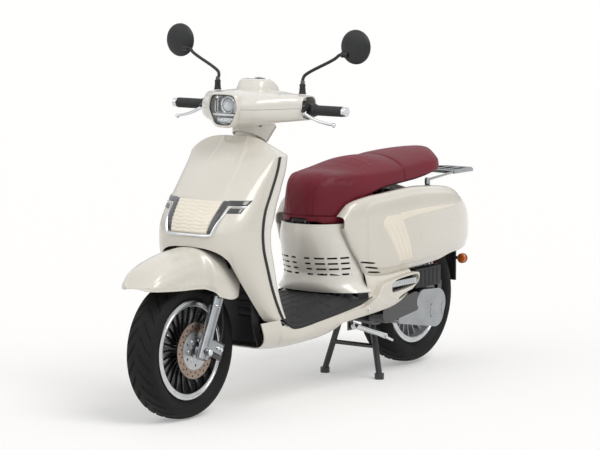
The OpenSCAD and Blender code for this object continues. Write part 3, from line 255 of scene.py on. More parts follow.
def cad(node, mat):
    """A CAD node's own shape as a part: doubles merged and flat faces joined."""
    bm = bmesh.new()
    bm.from_mesh(NODES[node].data)
    bmesh.ops.remove_doubles(bm, verts=bm.verts, dist=1e-5)
    bmesh.ops.dissolve_limit(bm, angle_limit=math.radians(0.8), verts=bm.verts, edges=bm.edges)
    bm.verts.index_update()
    part = (np.array([v.co for v in bm.verts]) * 1000, [[v.index for v in f.verts] for f in bm.faces],
            mat)
    bm.free()
    return part


def softened(node, bevel=1.0, extra=(), mat=None):
    """A CAD node with its edges rounded and its details added."""
    own = cad(node, mat or SLOT_FINISH[SLOT_OF[node]])
    return build(node + "_finished", [own, *extra], BODY_OF[node], [node], bevel)


def cut(part, *cutters):
    """Part with the cutters' shapes taken out of it."""
    made = []
    for k, (verts, faces, mat) in enumerate((part, *cutters)):
        obj = bpy.data.objects.new(f"cutting{k}", as_mesh(f"cutting{k}", [(verts, faces, mat)]))
        bpy.context.scene.collection.objects.link(obj)
        made.append(obj)
    for tool in made[1:]:
        mod = made[0].modifiers.new("cut", "BOOLEAN")
        mod.operation, mod.solver, mod.object = "DIFFERENCE", "EXACT", tool
    bpy.context.view_layer.update()
    mesh = bpy.data.meshes.new_from_object(made[0].evaluated_get(bpy.context.evaluated_depsgraph_get()))
    out = (np.array([v.co for v in mesh.vertices]) * 1000, [list(p.vertices) for p in mesh.polygons],
           part[2])
    for obj in made:
        bpy.data.objects.remove(obj)
    return out


def joined(parts):
    """Several shapes as one: points and faces."""
    verts, faces = [], []
    for points, polys in parts:
        base = sum(len(v) for v in verts)
        verts.append(np.asarray(points, float))
        faces += [[base + k for k in f] for f in polys]
    return np.vstack(verts), faces


# Materials
def linear(code):
    rgb = [int(code[i:i + 2], 16) / 255 for i in (1, 3, 5)]
    return tuple(c / 12.92 if c <= 0.04045 else ((c + 0.055) / 1.055) ** 2.4 for c in rgb) + (1.0,)


def add(tree, kind, sockets=None, **settings):
    """Adds a node: settings are its own, sockets get a value or a link."""
    node = tree.nodes.new(kind)
    for key, value in settings.items():
        setattr(node, key, value)
    for key, value in (sockets or {}).items():
        if isinstance(value, bpy.types.NodeSocket):
            tree.links.new(value, node.inputs[key])
        else:
            node.inputs[key].default_value = value
    return node


def finish(name, hues, rough, grain, drift=150.0, worn=None, cells=False, **shader):
    """Surface whose colour and roughness drift over some mm, with a grain of (size, depth) in mm.
    worn is the colour that shows on rubbed edges; cells gives a grain of small closed cells."""
    mat = bpy.data.materials.new(name)
    mat.use_nodes = True
    tree = mat.node_tree
    bsdf = tree.nodes["Principled BSDF"]
    for key, value in shader.items():
        bsdf.inputs[key.replace("_", " ")].default_value = value
    place = add(tree, "ShaderNodeTexCoord").outputs["Object"]
    cloud = add(tree, "ShaderNodeTexNoise",
                {"Vector": place, "Scale": 1000 / drift, "Detail": 4.0}).outputs["Fac"]
    ramp = add(tree, "ShaderNodeValToRGB", {"Fac": cloud})
    for stop, hue, at in zip(ramp.color_ramp.elements, hues, (0.32, 0.68)):
        stop.color, stop.position = linear(hue), at
    tint = ramp.outputs["Color"]
    if worn:
        edge = add(tree, "ShaderNodeNewGeometry").outputs["Pointiness"]
        rub = add(tree, "ShaderNodeMapRange",
                  {"Value": edge, "From Min": 0.53, "From Max": 0.62}).outputs["Result"]
        tint = add(tree, "ShaderNodeMix", {0: rub, 6: tint, 7: linear(worn)}, data_type="RGBA").outputs[2]
    tree.links.new(tint, bsdf.inputs["Base Color"])
    dull = add(tree, "ShaderNodeMapRange",
               {"Value": cloud, "From Min": 0.3, "From Max": 0.7, "To Min": rough[0], "To Max": rough[1]})
    tree.links.new(dull.outputs["Result"], bsdf.inputs["Roughness"])
    if cells:
        relief = add(tree, "ShaderNodeTexVoronoi",
                     {"Vector": place, "Scale": 1000 / grain[0]}).outputs["Distance"]
    else:
        relief = add(tree, "ShaderNodeTexNoise",
                     {"Vector": place, "Scale": 1000 / grain[0], "Detail": 2.0}).outputs["Fac"]
    bump = add(tree, "ShaderNodeBump", {"Height": relief, "Distance": grain[1] / 1000, "Strength": 0.6})
    tree.links.new(bump.outputs["Normal"], bsdf.inputs["Normal"])
    return mat


# ABS panels under pearl lacquer: warm white with a clear coat, faint orange peel of about 4 mm
PEARL = finish("pearl_lacquer", ("#D8D2C6", "#DED9CE"), (0.24, 0.3), (4.0, 0.006), 420, Coat_Weight=0.8,
               Coat_Roughness=0.08)
# The same panels in a cleaner white, as on the handlebar cover and the inner panels
WHITE = finish("white_lacquer", ("#E0DCD3", "#E6E3DB"), (0.24, 0.3), (4.0, 0.006), 420, Coat_Weight=0.8,
               Coat_Roughness=0.08)
# Cream moulded inserts, satin
CREAM = finish("cream_moulding", ("#EFE6D4", "#F4ECDD"), (0.34, 0.42), (1.2, 0.01), 200, Coat_Weight=0.3)
# Bright chrome plate: nearly a mirror, with slight waviness from the polished base
CHROME = finish("chrome_plate", ("#CDD0D3", "#DADCDE"), (0.06, 0.12), (9.0, 0.01), 90, Metallic=1.0)
# Smoked polycarbonate over unlit lamps: near black and glossy
SMOKED = finish("smoked_polycarbonate", ("#1D1F23", "#2A2D32"), (0.06, 0.12), (3.0, 0.004), 60,
                Coat_Weight=1.0, Coat_Roughness=0.03)
# Black EPDM trim: dull with a fine skin
RUBBER = finish("moulded_rubber", ("#1B1C1D", "#262728"), (0.5, 0.68), (0.9, 0.03), 70)
# Floor mat rubber: greyer from dust, with a pebble grain of about 2 mm
MAT = finish("floor_mat_rubber", ("#1C1D1F", "#27282A"), (0.5, 0.7), (2.2, 0.1), 80, cells=True,
             Specular_IOR_Level=0.35)
# Textured black polypropylene: spark-eroded grain of about 1.4 mm, drawn coarse so that it shows
PLASTIC = finish("grained_polypropylene", ("#141517", "#1E1F21"), (0.42, 0.58), (1.4, 0.06), 120,
                 cells=True)
# Black enamel on steel, rubbed bright along edges
ENAMEL = finish("black_enamel", ("#111213", "#1A1B1D"), (0.26, 0.4), (3.0, 0.02), 90, worn="#5A5C60",
                Coat_Weight=0.4)
# Polished and lacquered aluminium, as on the fork lowers
SILVER = finish("polished_aluminium", ("#9A9DA0", "#AAADB0"), (0.2, 0.3), (1.6, 0.006), 60, Metallic=1.0)
# Silver paint on die-cast alloy: satin, with a cast skin of about 3 mm
CAST = finish("silver_painted_casting", ("#A3A5A8", "#B3B5B7"), (0.32, 0.44), (3.0, 0.02), 90,
              worn="#C9CBCD", Metallic=0.75, Coat_Weight=0.3)
# Black paint on the cast wheels
BLACK_ALLOY = finish("black_wheel_paint", ("#101112", "#18191A"), (0.22, 0.34), (3.0, 0.015), 60,
                     Coat_Weight=0.6)
# Machined rim lip: bright turned aluminium
LIP = finish("machined_lip", ("#C2C4C6", "#D4D6D7"), (0.16, 0.28), (0.7, 0.006), 40, Metallic=1.0)
# Lamp lenses: clear coloured acrylic with a glossy skin
RED_LENS = finish("red_acrylic", ("#9A1217", "#B3191E"), (0.08, 0.14), (6.0, 0.05), 40, cells=True,
                  Coat_Weight=1.0)
AMBER = finish("amber_acrylic", ("#D0601A", "#E07A2A"), (0.08, 0.14), (6.0, 0.05), 40, cells=True,
               Coat_Weight=1.0)
# Instrument glass over a black face
DIAL = finish("dial_glass", ("#0F1012", "#17181B"), (0.05, 0.1), (20.0, 0.004), 60, Coat_Weight=1.0)
RED_BUTTON = finish("red_button_plastic", ("#B93428", "#C8443A"), (0.35, 0.45), (1.0, 0.02), 20)
GREY_BUTTON = finish("grey_button_plastic", ("#C9C9C6", "#D8D8D5"), (0.35, 0.45), (1.0, 0.02), 20)
# Tyre rubber: dull, with a faint bloom and mould skin
TYRE = finish("tyre_rubber", ("#0E0E0E", "#161616"), (0.58, 0.76), (1.8, 0.06), 90,
              Specular_IOR_Level=0.25)
# Mirror glass
MIRROR = finish("mirror_glass", ("#B9C0C6", "#C4CAD0"), (0.02, 0.05), (60.0, 0.002), 120, Metallic=1.0)
# Powder-coated spring wire
SPRING_RED = finish("red_powder_coat", ("#8E2522", "#A32E2A"), (0.3, 0.42), (2.0, 0.03), 40,
                    Coat_Weight=0.3)
# Seat vinyl over foam: burgundy, hide grain of about 2.6 mm, drawn coarse so that it shows
VINYL = finish("burgundy_vinyl", ("#661524", "#741B2B"), (0.46, 0.58), (2.6, 0.12), 160, cells=True,
               Specular_IOR_Level=0.3)
# Painted shade: a near-black finish for sheets set behind slots, in recesses and in a screw hole, where
# there is only shade
PAINTED_SHADE = finish("painted_shade_black", ("#08090A", "#0E0F10"), (0.7, 0.85), (3.0, 0.02), 90)
# Brushed aluminium: fine scratches drawn 2 mm apart
BRUSHED = finish("brushed_aluminium", ("#B2B5B8", "#C6C9CB"), (0.26, 0.4), (2.0, 0.02), 40,
                 worn="#DADCDE", Metallic=1.0)


def disc_steel(name, hues, centre):
    """Ground stainless steel: rings round the axle about 1.5 mm apart, browned by heat."""
    mat = finish(name, hues, (0.28, 0.4), (2.0, 0.01), 50, Metallic=1.0)
    tree = mat.node_tree
    place = add(tree, "ShaderNodeTexCoord").outputs["Object"]
    offset = add(tree, "ShaderNodeMapping",
                 {"Vector": place, "Location": [-c / 1000 for c in centre], "Scale": (0, 1, 1)})
    away = add(tree, "ShaderNodeVectorMath", {0: offset.outputs["Vector"]}, operation="LENGTH")
    rings = add(tree, "ShaderNodeTexNoise", {"W": away.outputs["Value"], "Scale": 1000 / 1.5},
                noise_dimensions="1D")
    bump = add(tree, "ShaderNodeBump",
               {"Height": rings.outputs["Fac"], "Distance": 0.00005, "Strength": 0.5})
    tree.links.new(bump.outputs["Normal"], tree.nodes["Principled BSDF"].inputs["Normal"])
    return mat


FRONT_AXLE = (0.0, FRONT_Y, FRONT_Z)
DISC = disc_steel("ground_disc_steel", ("#8E7D72", "#A08F84"), FRONT_AXLE)
CARRIER = disc_steel("turned_disc_carrier", ("#B2B4B6", "#C4C6C8"), FRONT_AXLE)

SLOT_FINISH = {
    "body_paint": PEARL, "white_paint": WHITE, "cream_paint": CREAM, "chrome": CHROME,
               "smoked_lens": SMOKED,
    "black_rubber": RUBBER, "mat_rubber": MAT, "black_plastic": PLASTIC, "black_steel": ENAMEL,
               "silver_alloy": SILVER,
    "grey_alloy": CAST, "black_alloy": BLACK_ALLOY, "red_lens": RED_LENS, "amber_lens": AMBER,
               "headlight_glass": CHROME,
    "dial_black": DIAL, "red_plastic": RED_BUTTON, "grey_plastic": GREY_BUTTON, "tyre_rubber": TYRE,
               "disc_steel": DISC,
    "red_spring": SPRING_RED, "seat_vinyl": VINYL,
}
for node, slot in SLOT_OF.items():
    NODES[node].data.materials.clear()
    NODES[node].data.materials.append(SLOT_FINISH[slot])


# Repeated pieces
def repeat_tree():
    """Sets a shape on every point of a mesh, turned by the point's own angles."""
    tree = bpy.data.node_groups.new("set_on_points", "GeometryNodeTree")
    face = tree.interface
    for name, kind in (("Points", "NodeSocketGeometry"), ("Shape", "NodeSocketObject"),
                       ("Size", "NodeSocketFloat"), ("Finish", "NodeSocketMaterial")):
        face.new_socket(name, in_out="INPUT", socket_type=kind)
    face.new_socket("Pieces", in_out="OUTPUT", socket_type="NodeSocketGeometry")
    given = add(tree, "NodeGroupInput").outputs
    turn = add(tree, "GeometryNodeInputNamedAttribute", {"Name": "turn"}, data_type="FLOAT_VECTOR")
    shape = add(tree, "GeometryNodeObjectInfo", {"Object": given["Shape"]}, transform_space="ORIGINAL")
    copies = add(tree, "GeometryNodeInstanceOnPoints", {
        "Points": given["Points"], "Instance": shape.outputs["Geometry"],
        "Rotation": turn.outputs["Attribute"], "Scale": given["Size"]})
    solid = add(tree, "GeometryNodeRealizeInstances", {"Geometry": copies.outputs["Instances"]})
    painted = add(tree, "GeometryNodeSetMaterial",
                  {"Geometry": solid.outputs["Geometry"], "Material": given["Finish"]})
    add(tree, "NodeGroupOutput", {"Pieces": painted.outputs["Geometry"]})
    return tree


REPEAT = repeat_tree()


def repeated(name, shape, places, turns, mat, body, nodes=(), size=1.0):
    """Copies of a shape (points in mm about its own origin, faces) at places in mm, one piece."""
    scene = bpy.context.scene.collection.objects
    pattern = bpy.data.objects.new(name + ".shape", as_mesh(name + ".shape", [(*shape, mat)]))
    holder = bpy.data.objects.new(name + ".points", bpy.data.meshes.new(name + ".points"))
    scene.link(pattern)
    scene.link(holder)
    holder.data.from_pydata((np.asarray(places, float) / 1000).tolist(), [], [])
    turned = holder.data.attributes.new("turn", "FLOAT_VECTOR", "POINT")
    turned.data.foreach_set("vector", np.asarray(turns, float).ravel())
    mod = holder.modifiers.new("copies", "NODES")
    mod.node_group = REPEAT
    for item in REPEAT.interface.items_tree:
        if item.in_out == "INPUT" and item.name != "Points":
            mod[item.identifier] = {"Shape": pattern, "Size": size, "Finish": mat}[item.name]
    bpy.context.view_layer.update()
    mesh = bpy.data.meshes.new_from_object(holder.evaluated_get(bpy.context.evaluated_depsgraph_get()))
    holder.modifiers.clear()
    for old in (pattern, holder):
        bpy.data.objects.remove(old)
    obj = bpy.data.objects.new(name, mesh)
    mesh.name = name
    scene.link(obj)
    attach(obj, body)
    if nodes:
        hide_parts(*nodes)
    return obj


def facing(ways):
    """Angles that turn a shape's +Z to each way."""
    return [tuple(Vector(w).to_track_quat("Z", "Y").to_euler()) for w in ways]


def screw_head(r, h):
    """Cap screw head about the origin, its hexagon socket open along +Z."""
    turn = np.radians(np.arange(0, 360, 30))
    flat = np.where(np.arange(12) % 2 == 0, 1.0, math.cos(math.radians(30)))
    rows = [(r, -1.0, 1), (r, h - 0.12 * r, 1), (r * 0.88, h, 1), (r * 0.56, h, 0),
            (r * 0.54, h * 0.45, 0)]
    return loft([np.stack([q * (1 if full else flat) * np.cos(turn),
                           q * (1 if full else flat) * np.sin(turn), np.full(12, z)], axis=1)
                 for q, z, full in rows])


# Camera, floor and light
camera = bpy.data.objects.new("camera", bpy.data.cameras.new("camera"))
bpy.context.scene.collection.objects.link(camera)
camera.location = (5.59368, -7.73759, 1.73817)
camera.rotation_euler = (math.pi / 2 - 0.122130, 0.0, 0.629309)
camera.data.sensor_fit, camera.data.sensor_width = "HORIZONTAL", 36.0
camera.data.lens = 166.636
camera.data.clip_end = 300.0
bpy.context.scene.camera = camera
bpy.context.scene.view_settings.view_transform = "Standard"


def pale_floor():
    """Pale studio floor: white to the camera and in reflections, and it keeps the shadow."""
    mat = bpy.data.materials.new("studio_floor")
    mat.use_nodes = True
    tree = mat.node_tree
    bsdf = tree.nodes["Principled BSDF"]
    bsdf.inputs["Base Color"].default_value = linear("#DDDCDA")
    bsdf.inputs["Roughness"].default_value = 0.9
    path = add(tree, "ShaderNodeLightPath").outputs
    seen = add(tree, "ShaderNodeMath", {0: path["Is Camera Ray"], 1: path["Is Glossy Ray"]},
               operation="MAXIMUM")
    glow = add(tree, "ShaderNodeMath", {0: seen.outputs[0], 1: 0.3}, operation="MULTIPLY")
    bsdf.inputs["Emission Color"].default_value = (1, 1, 1, 1)
    tree.links.new(glow.outputs[0], bsdf.inputs["Emission Strength"])
    half = 90.0
    mesh = bpy.data.meshes.new("floor")
    mesh.from_pydata([(-half, -half, 0), (half, -half, 0), (half, half, 0), (-half, half, 0)], [],
                     [(0, 1, 2, 3)])
    mesh.materials.append(mat)
    floor = bpy.data.objects.new("floor", mesh)
    bpy.context.scene.collection.objects.link(floor)


def studio_light():
    world = bpy.data.worlds.new("studio")
    bpy.context.scene.world = world
    world.use_nodes = True
    tree = world.node_tree
    tree.nodes.clear()
    path = add(tree, "ShaderNodeLightPath").outputs
    soft = add(tree, "ShaderNodeBackground", {"Color": (1, 1, 1, 1), "Strength": 0.52})
    white = add(tree, "ShaderNodeBackground", {"Color": (1, 1, 1, 1), "Strength": 1.0})
    # Reflections see a studio: a grey band at the horizon under a bright ceiling
    way = add(tree, "ShaderNodeTexCoord").outputs["Generated"]
    height = add(tree, "ShaderNodeSeparateXYZ", {0: way}).outputs["Z"]
    bands = add(tree, "ShaderNodeValToRGB", {"Fac": height})
    for stop, at, grey in zip(bands.color_ramp.elements, (0.12, 0.42), (0.42, 1.0)):
        stop.position, stop.color = at, (grey, grey, grey, 1)
    room = add(tree, "ShaderNodeBackground", {"Color": bands.outputs["Color"], "Strength": 1.08})
    shiny = add(tree, "ShaderNodeMixShader",
                {0: path["Is Glossy Ray"], 1: soft.outputs[0], 2: room.outputs[0]})
    mix = add(tree, "ShaderNodeMixShader",
              {0: path["Is Camera Ray"], 1: shiny.outputs[0], 2: white.outputs[0]})
    add(tree, "ShaderNodeOutputWorld", {"Surface": mix.outputs[0]})
    for name, power, spread, euler in (("key", 1.35, 34, (38, 12, 66)), ("fill", 0.5, 60, (58, 0, -18))):
        lamp = bpy.data.lights.new(name, "SUN")
        lamp.energy, lamp.angle = power, math.radians(spread)
        obj = bpy.data.objects.new(name, lamp)
        obj.rotation_euler = [math.radians(e) for e in euler]
        bpy.context.scene.collection.objects.link(obj)


pale_floor()
studio_light()

# Leg shield
SHIELD_W = 190.0
SHIELD_EDGE = [[280, 335], [311, 304], [400, 256], [494, 222], [551, 205], [612, 202], [672, 219],
               [730, 254], [800, 290], [850, 306], [910, 320]]
SHIELD_TAPER = [[280, 0], [400, 2], [612, 4], [672, 7], [730, 10], [800, 10], [910, 12]]
SHIELD_BULGE = [[280, 74], [384, 101], [494, 152], [599, 153], [641, 147], [682, 132], [719, 122],
                [785, 89], [840, 46], [870, 24], [910, 5]]
INNER_BULGE = [[280, 40], [311, 48], [400, 74], [500, 94], [560, 100], [609, 108], [643, 126], [742, 116],
               [825, 105], [850, 100]]
ARCH = [[0, 563], [14, 559], [28, 547], [38, 528], [43, 505], [46, 440], [48, 350], [51, 306], [90, 306]]
ROUND = 1 / 1.4
CREST, CORNER, WAIST, FOOT = 907.0, 846.0, 600.0, 306.0


def arc_angles(count, power, across, deep):
    """Angles from side to side that step evenly along a rounded section."""
    a = np.linspace(0, math.pi / 2, 4000)
    x, y = across * np.sin(a) ** power, deep * np.cos(a) ** power
    run = np.concatenate([[0], np.cumsum(np.hypot(np.diff(x), np.diff(y)))])
    half = np.interp(np.linspace(0, run[-1], count + 1), run, a)
    return np.concatenate([-half[:0:-1], half])


def shield_half(z):
    return SHIELD_W - curve(SHIELD_TAPER, z)


def shield_face(a, z):
    bulge = curve(SHIELD_BULGE, z) * np.abs(np.cos(a)) ** ROUND
    return stack(shield_half(z) * spow(np.sin(a), ROUND),
                 FRONT_Y + curve(SHIELD_EDGE, z) - TRIM / 2 - bulge, z)


def inner_face(a, z):
    bulge = curve(INNER_BULGE, z) * np.abs(np.cos(a)) ** ROUND
    return stack(shield_half(z) * spow(np.sin(a), ROUND),
                 FRONT_Y + curve(SHIELD_EDGE, z) + TRIM / 2 + bulge, z)


def across(q):
    """Angle round the shield at a share of its half width."""
    return np.sign(q) * np.arcsin(np.clip(np.abs(q), 0, 1) ** (1 / ROUND))


def on_shield(q, z, lift):
    grid = shield_face(across(q), z)
    return grid - np.asarray(lift)[..., None] * normals(grid)


def rounded_path(points, passes=3):
    """Path with its corners cut smooth."""
    p = np.asarray(points, float)
    for _ in range(passes):
        q = np.empty((2 * len(p), p.shape[1]))
        q[0], q[-1] = p[0], p[-1]
        q[1:-1:2], q[2:-1:2] = p[:-1] * 0.75 + p[1:] * 0.25, p[:-1] * 0.25 + p[1:] * 0.75
        p = q
    return p


SHIELD_COLUMNS = arc_angles(70, ROUND, 182, 140)


def leg_shield():
    a = SHIELD_COLUMNS[None, :]
    high = lerp(CREST, CORNER, np.abs(np.sin(a)) ** (8 / 2.8))
    low = curve(ARCH, np.degrees(np.abs(a)))
    up, down = np.linspace(0, 1, 74)[:, None], np.linspace(0, 1, 40)[1:, None]
    z = np.vstack([lerp(high, WAIST, up), lerp(WAIST, low, down)])
    grid = shield_face(np.broadcast_to(a, z.shape), z)
    x, way = np.abs(grid[..., 0]), -normals(grid)
    line = lerp(47, 88, np.clip((CREST - z) / 195, 0, 1))
    hood = 3.6 * (1 - ease(line - 4, line + 9, x)) * ease(704, 716, z)
    notch = -3.2 * ease(884, 889, z) * (1 - ease(32, 37, x - (z - 884) * 0.5))
    seam = -1.0 * (1 - ease(0.6, 2.6, np.abs(z - 330))) * ease(150, 160, x)
    grid = grid + (hood + notch + seam)[..., None] * way
    boss = rounded((-30, -545, 668), (30, -539.4, 704), 2)
    build("leg_shield", [(*panel(grid, WALL), PEARL), (*boss, PEARL)], "chassis",
          ["front_shield"], bevel=0.9, limit=50)


def grille():
    v, u = np.meshgrid(np.linspace(0, 1, 145), np.linspace(-1, 1, 121), indexing="ij")
    z, q = lerp(709, 609, v), u * lerp(0.492, 0.385, v)
    rows, waves = 9, 3.5
    scallop = 0.16 * np.abs(np.sin(math.pi * waves
                                   * (u + 1))) * np.where(np.floor(waves * (u + 1)) % 2 == 0, 1, -1)
    rib = np.abs(np.sin(math.pi * (rows * v + scallop))) ** 0.55
    edge = ease(0, 0.03, 1 - np.abs(u)) * ease(0, 0.02, v) * ease(0, 0.02, 1 - v)
    out = on_shield(q, z, 1.6 + edge * (1.4 + 2.4 * rib))
    build("grille_ribs", [(*shell(out, on_shield(q, z, np.full_like(q, -0.5))), CREAM)], "chassis",
          ["grille_panel"], angle=60)


def lamp_patch(inner_q, outer_q, z0, z1, lift, steps=(40, 24)):
    """Lens between two slanted edges on the shield, each a share of the half width at z0 and z1."""
    v, u = np.meshgrid(np.linspace(0, 1, steps[0]), np.linspace(0, 1, steps[1]), indexing="ij")
    z = lerp(z0, z1, v)
    q = lerp(lerp(inner_q[0], inner_q[1], v), lerp(outer_q[0], outer_q[1], v), u)
    crown = np.minimum(1, 6 * np.minimum(np.minimum(u, 1 - u), np.minimum(v, 1 - v))) ** 0.5
    return shell(on_shield(q, z, lift * (0.35 + 0.65 * crown)), on_shield(q, z, np.full_like(q, -0.5)))


def front_lamps():
    parts = []
    for part in (lamp_patch((0.502, 0.397), (0.64, 0.485), 711, 609, 4.6),
                 lamp_patch((0.60, 0.60), (0.935, 0.905), 713, 697, 3.0),
                 lamp_patch((0.655, 0.64), (0.885, 0.86), 689, 674, 3.0)):
        parts += [(*part, SMOKED), (*mirrored(part), SMOKED)]
    build("front_turn_lamps", parts, "chassis", ["front_signals"], angle=50)


def chrome_frame():
    side = [(0.90, 693.0), (0.80, 693.2), (0.68, 692.5), (0.655, 686.0), (0.57, 646.0), (0.50, 609.0),
            (0.47, 602.5), (0.40, 601.5)]
    half = rounded_path(side)
    half = np.vstack([half, [[q, 601.5] for q in np.linspace(0.36, 0.04, 14)]])
    route = np.vstack([half, (half * [-1, 1])[::-1]])
    grid = shield_face(across(route[:, 0]), route[:, 1])
    near = np.stack([shield_face(across(route[:, 0]), route[:, 1] + d) for d in (-3, 3)])
    aside = np.stack([shield_face(across(np.clip(route[:, 0] + d, -0.99, 0.99)), route[:, 1])
                      for d in (-0.02, 0.02)])
    out = unit(np.cross(aside[1] - aside[0], near[1] - near[0]))
    radius = lerp(2.4, 5.6, 1 - ease(625, 690, route[:, 1]))
    build("grille_frame", [(*tube(grid + out * radius[:, None] * 0.55, radius, 16), CHROME)], "chassis",
          ["grille_surround"])


def edge_trim():
    z = np.linspace(CORNER, FOOT, 110)
    turn = np.linspace(0, 2 * math.pi, 16, endpoint=False)
    rings = [stack(shield_half(h) + 0.4 + 4.2 * spow(np.cos(turn), 0.7),
                   FRONT_Y + curve(SHIELD_EDGE, h) + 5.7 * spow(np.sin(turn), 0.7), h) for h in z]
    strip = loft(rings)
    build("shield_edge_trim", [(*strip, RUBBER), (*mirrored(strip), RUBBER)], "chassis",
          ["shield_trim"])


def inner_panel():
    a, z = SHIELD_COLUMNS[None, :], np.linspace(CORNER, FOOT, 90)[:, None]
    a, z = np.broadcast_arrays(a, z)
    grid = inner_face(a, z)
    way = normals(grid)
    x = np.abs(grid[..., 0])
    door = np.maximum(np.abs(x - 0) - 112, np.abs(z - 690) - 92)
    groove = -1.6 * (1 - ease(0.8, 2.4, np.abs(door)))
    ridge = 2.0 * (1 - ease(20, 34, x)) * ease(330, 360, z) * (1 - ease(540, 570, z))
    grid = grid + (groove + ridge)[..., None] * way
    boss = rounded((-30, -401, 668), (30, -296, 704), 2)
    parts = [(*panel(grid, -WALL), WHITE), (*boss, WHITE)]
    build("inner_leg_panel", parts, "chassis", ["inner_shield"], bevel=0.9, limit=50)
    # Cover over the head, from the shield's crest back to the inner panel
    t = np.linspace(0, 1, 26)[:, None]
    ang = SHIELD_COLUMNS[None, :]
    crest = shield_face(ang, lerp(CREST, CORNER, np.abs(np.sin(ang)) ** (8 / 2.8)) - 1.0)
    back = inner_face(ang, np.full_like(ang, CORNER))
    deck = lerp(crest, back, t[..., None])
    deck[..., 2] += (5.0 * np.sin(math.pi * t) * np.abs(np.cos(ang)) ** 0.7)
    along = unit(fork(0.0, 0.0, 1.0) - fork(0.0, 0.0, 0.0))
    collar = spin([(34, 0), (38, 0), (38, 60), (34, 60)], fork(0.0, 40.0, 712.0), along, 64)
    build("head_cover", [(*panel(deck, -2.0), WHITE), (*collar, WHITE)], "chassis",
          bevel=0.6, limit=50)


leg_shield()
grille()
front_lamps()
chrome_frame()
edge_trim()
inner_panel()

# Front mudguard, floor and the guard behind the front wheel
FENDER_CROWN = [[-235, 456], [-190, 508], [-104, 545], [-7, 560], [60, 560], [120, 548], [170, 524]]
FENDER_EDGE = [[-235, 449], [-101, 440], [12, 433], [34, 424], [56, 404], [149, 395], [170, 452]]
FENDER_HALF = [[-235, 42], [-220, 66], [-180, 82], [-104, 89], [0, 91], [24, 96], [46, 123], [150, 126],
               [170, 119]]


def front_mudguard():
    y = np.concatenate([np.linspace(-235, -215, 14)[:-1], np.linspace(-215, 60, 70)[:-1],
                        np.linspace(60, 170, 30)])[:, None]
    a = arc_angles(48, 0.8, 95, 105)[None, :]
    y, a = np.broadcast_arrays(y, a)
    low, high = curve(FENDER_EDGE, y), curve(FENDER_CROWN, y)
    grid = stack(curve(FENDER_HALF, y) * spow(np.sin(a), 0.8), FRONT_Y + y,
                 lerp(low, high, np.abs(np.cos(a)) ** 0.8))
    above = grid[..., 2] - low
    lip = -1.6 * (1 - ease(8, 11, above)) * ease(2, 4, np.degrees(np.abs(a)) - 40)
    ridge = 2.2 * (1 - ease(3, 16,
                            np.abs(np.degrees(np.abs(a)) - 44 + (y + 100)
                                   * 0.02))) * (1 - ease(-40, 30, y))
    grid = grid + (lip + ridge)[..., None] * normals(grid)
    build("front_mudguard", [(*panel(grid, -WALL), PEARL)], "steering", ["front_fender"],
          bevel=0.9, limit=50)


FLOOR_RISE = [[0, 20], [0.1, 0], [0.35, 8], [0.8, 34], [1, 61]]
BOX_BACK = -490.0
BOX_FRONT = [[338, -622], [352, -634], [370, -640], [403, -637], [438, -651], [496, -669], [540, -677],
             [578, -671]]
BOX_HALF = [[338, 188], [352, 172], [370, 156], [403, 150], [500, 148], [578, 142]]


def side_round(s, n):
    return np.maximum(1 - np.abs(s) ** n, 0) ** (1 / n)


def floor_edge(y):
    return 264 + curve(FLOOR_RISE, (y - FRONT_Y - 325) / 535)


def floor_face(s, t, gap=1.5):
    front = FRONT_Y + curve(SHIELD_EDGE,
                            FOOT) + TRIM / 2 + gap + curve(INNER_BULGE, FOOT) * side_round(s, 2.8)
    back = REAR_Y + BOX_BACK - gap + (BOX_FRONT[0][1] - BOX_BACK) * side_round(s, 20 / 9)
    y = lerp(front, back, t)
    return stack(SHIELD_W * s, y, floor_edge(y) + 36 * (1 - np.abs(s) ** 3))


def floor_mat():
    turn = arc_angles(90, 1.0, 190, 60)
    s, t = np.broadcast_arrays(np.sin(turn)[None, :], np.linspace(0, 1, 200)[:, None])
    grid = floor_face(s, t)
    way = normals(grid)
    x, y = grid[..., 0], grid[..., 1]
    plank = 44.0
    across_plank = np.abs((x / plank + 0.5) % 1 - 0.5) * plank
    groove = 1 - ease(1.2, 4.0, across_plank)
    lane = np.floor(x / plank + 0.5)
    along = np.abs(((y + lane * 61) / 168) % 1 - 0.5) * 168
    joint = (1 - ease(1.2, 4.0, along)) * (across_plank < plank)
    pads = 1 - np.maximum(groove, 0.8 * joint)
    border = ease(0.925, 0.935, np.abs(s))
    lift = 3.4 + 3.6 * pads * (1 - border) + 4.8 * border
    lift = lift * (1 - 0.35 * ease(0.985, 1.0, np.abs(s)))
    top = grid + lift[..., None] * way
    build("floor_mat_planks", [(*shell(top, grid + 0.1 * way), MAT)], "chassis",
          ["floor_mat"], angle=50)


TRAY_LOW = [[0, 200], [0.12, 192], [0.55, 194], [0.72, 206], [0.86, 240], [1, 262]]
TRAY_Y, TRAY_L = FRONT_Y + 232, 545.0


def tray_face(t, a):
    low = curve(TRAY_LOW, t)
    high = np.where(t < 0.15, FOOT, floor_edge(TRAY_Y + TRAY_L * t))
    z = high - (high - low) * np.abs(np.cos(a)) ** 0.6
    lean = 0.47 * (z - low) * (1 - t) ** 6
    dip = 60 * np.abs(np.cos(a)) ** 6 * (1 - t) ** 6
    return stack((SHIELD_W + WALL + 0.6) * spow(np.sin(a), 0.6), TRAY_Y + TRAY_L * t - lean + dip, z)


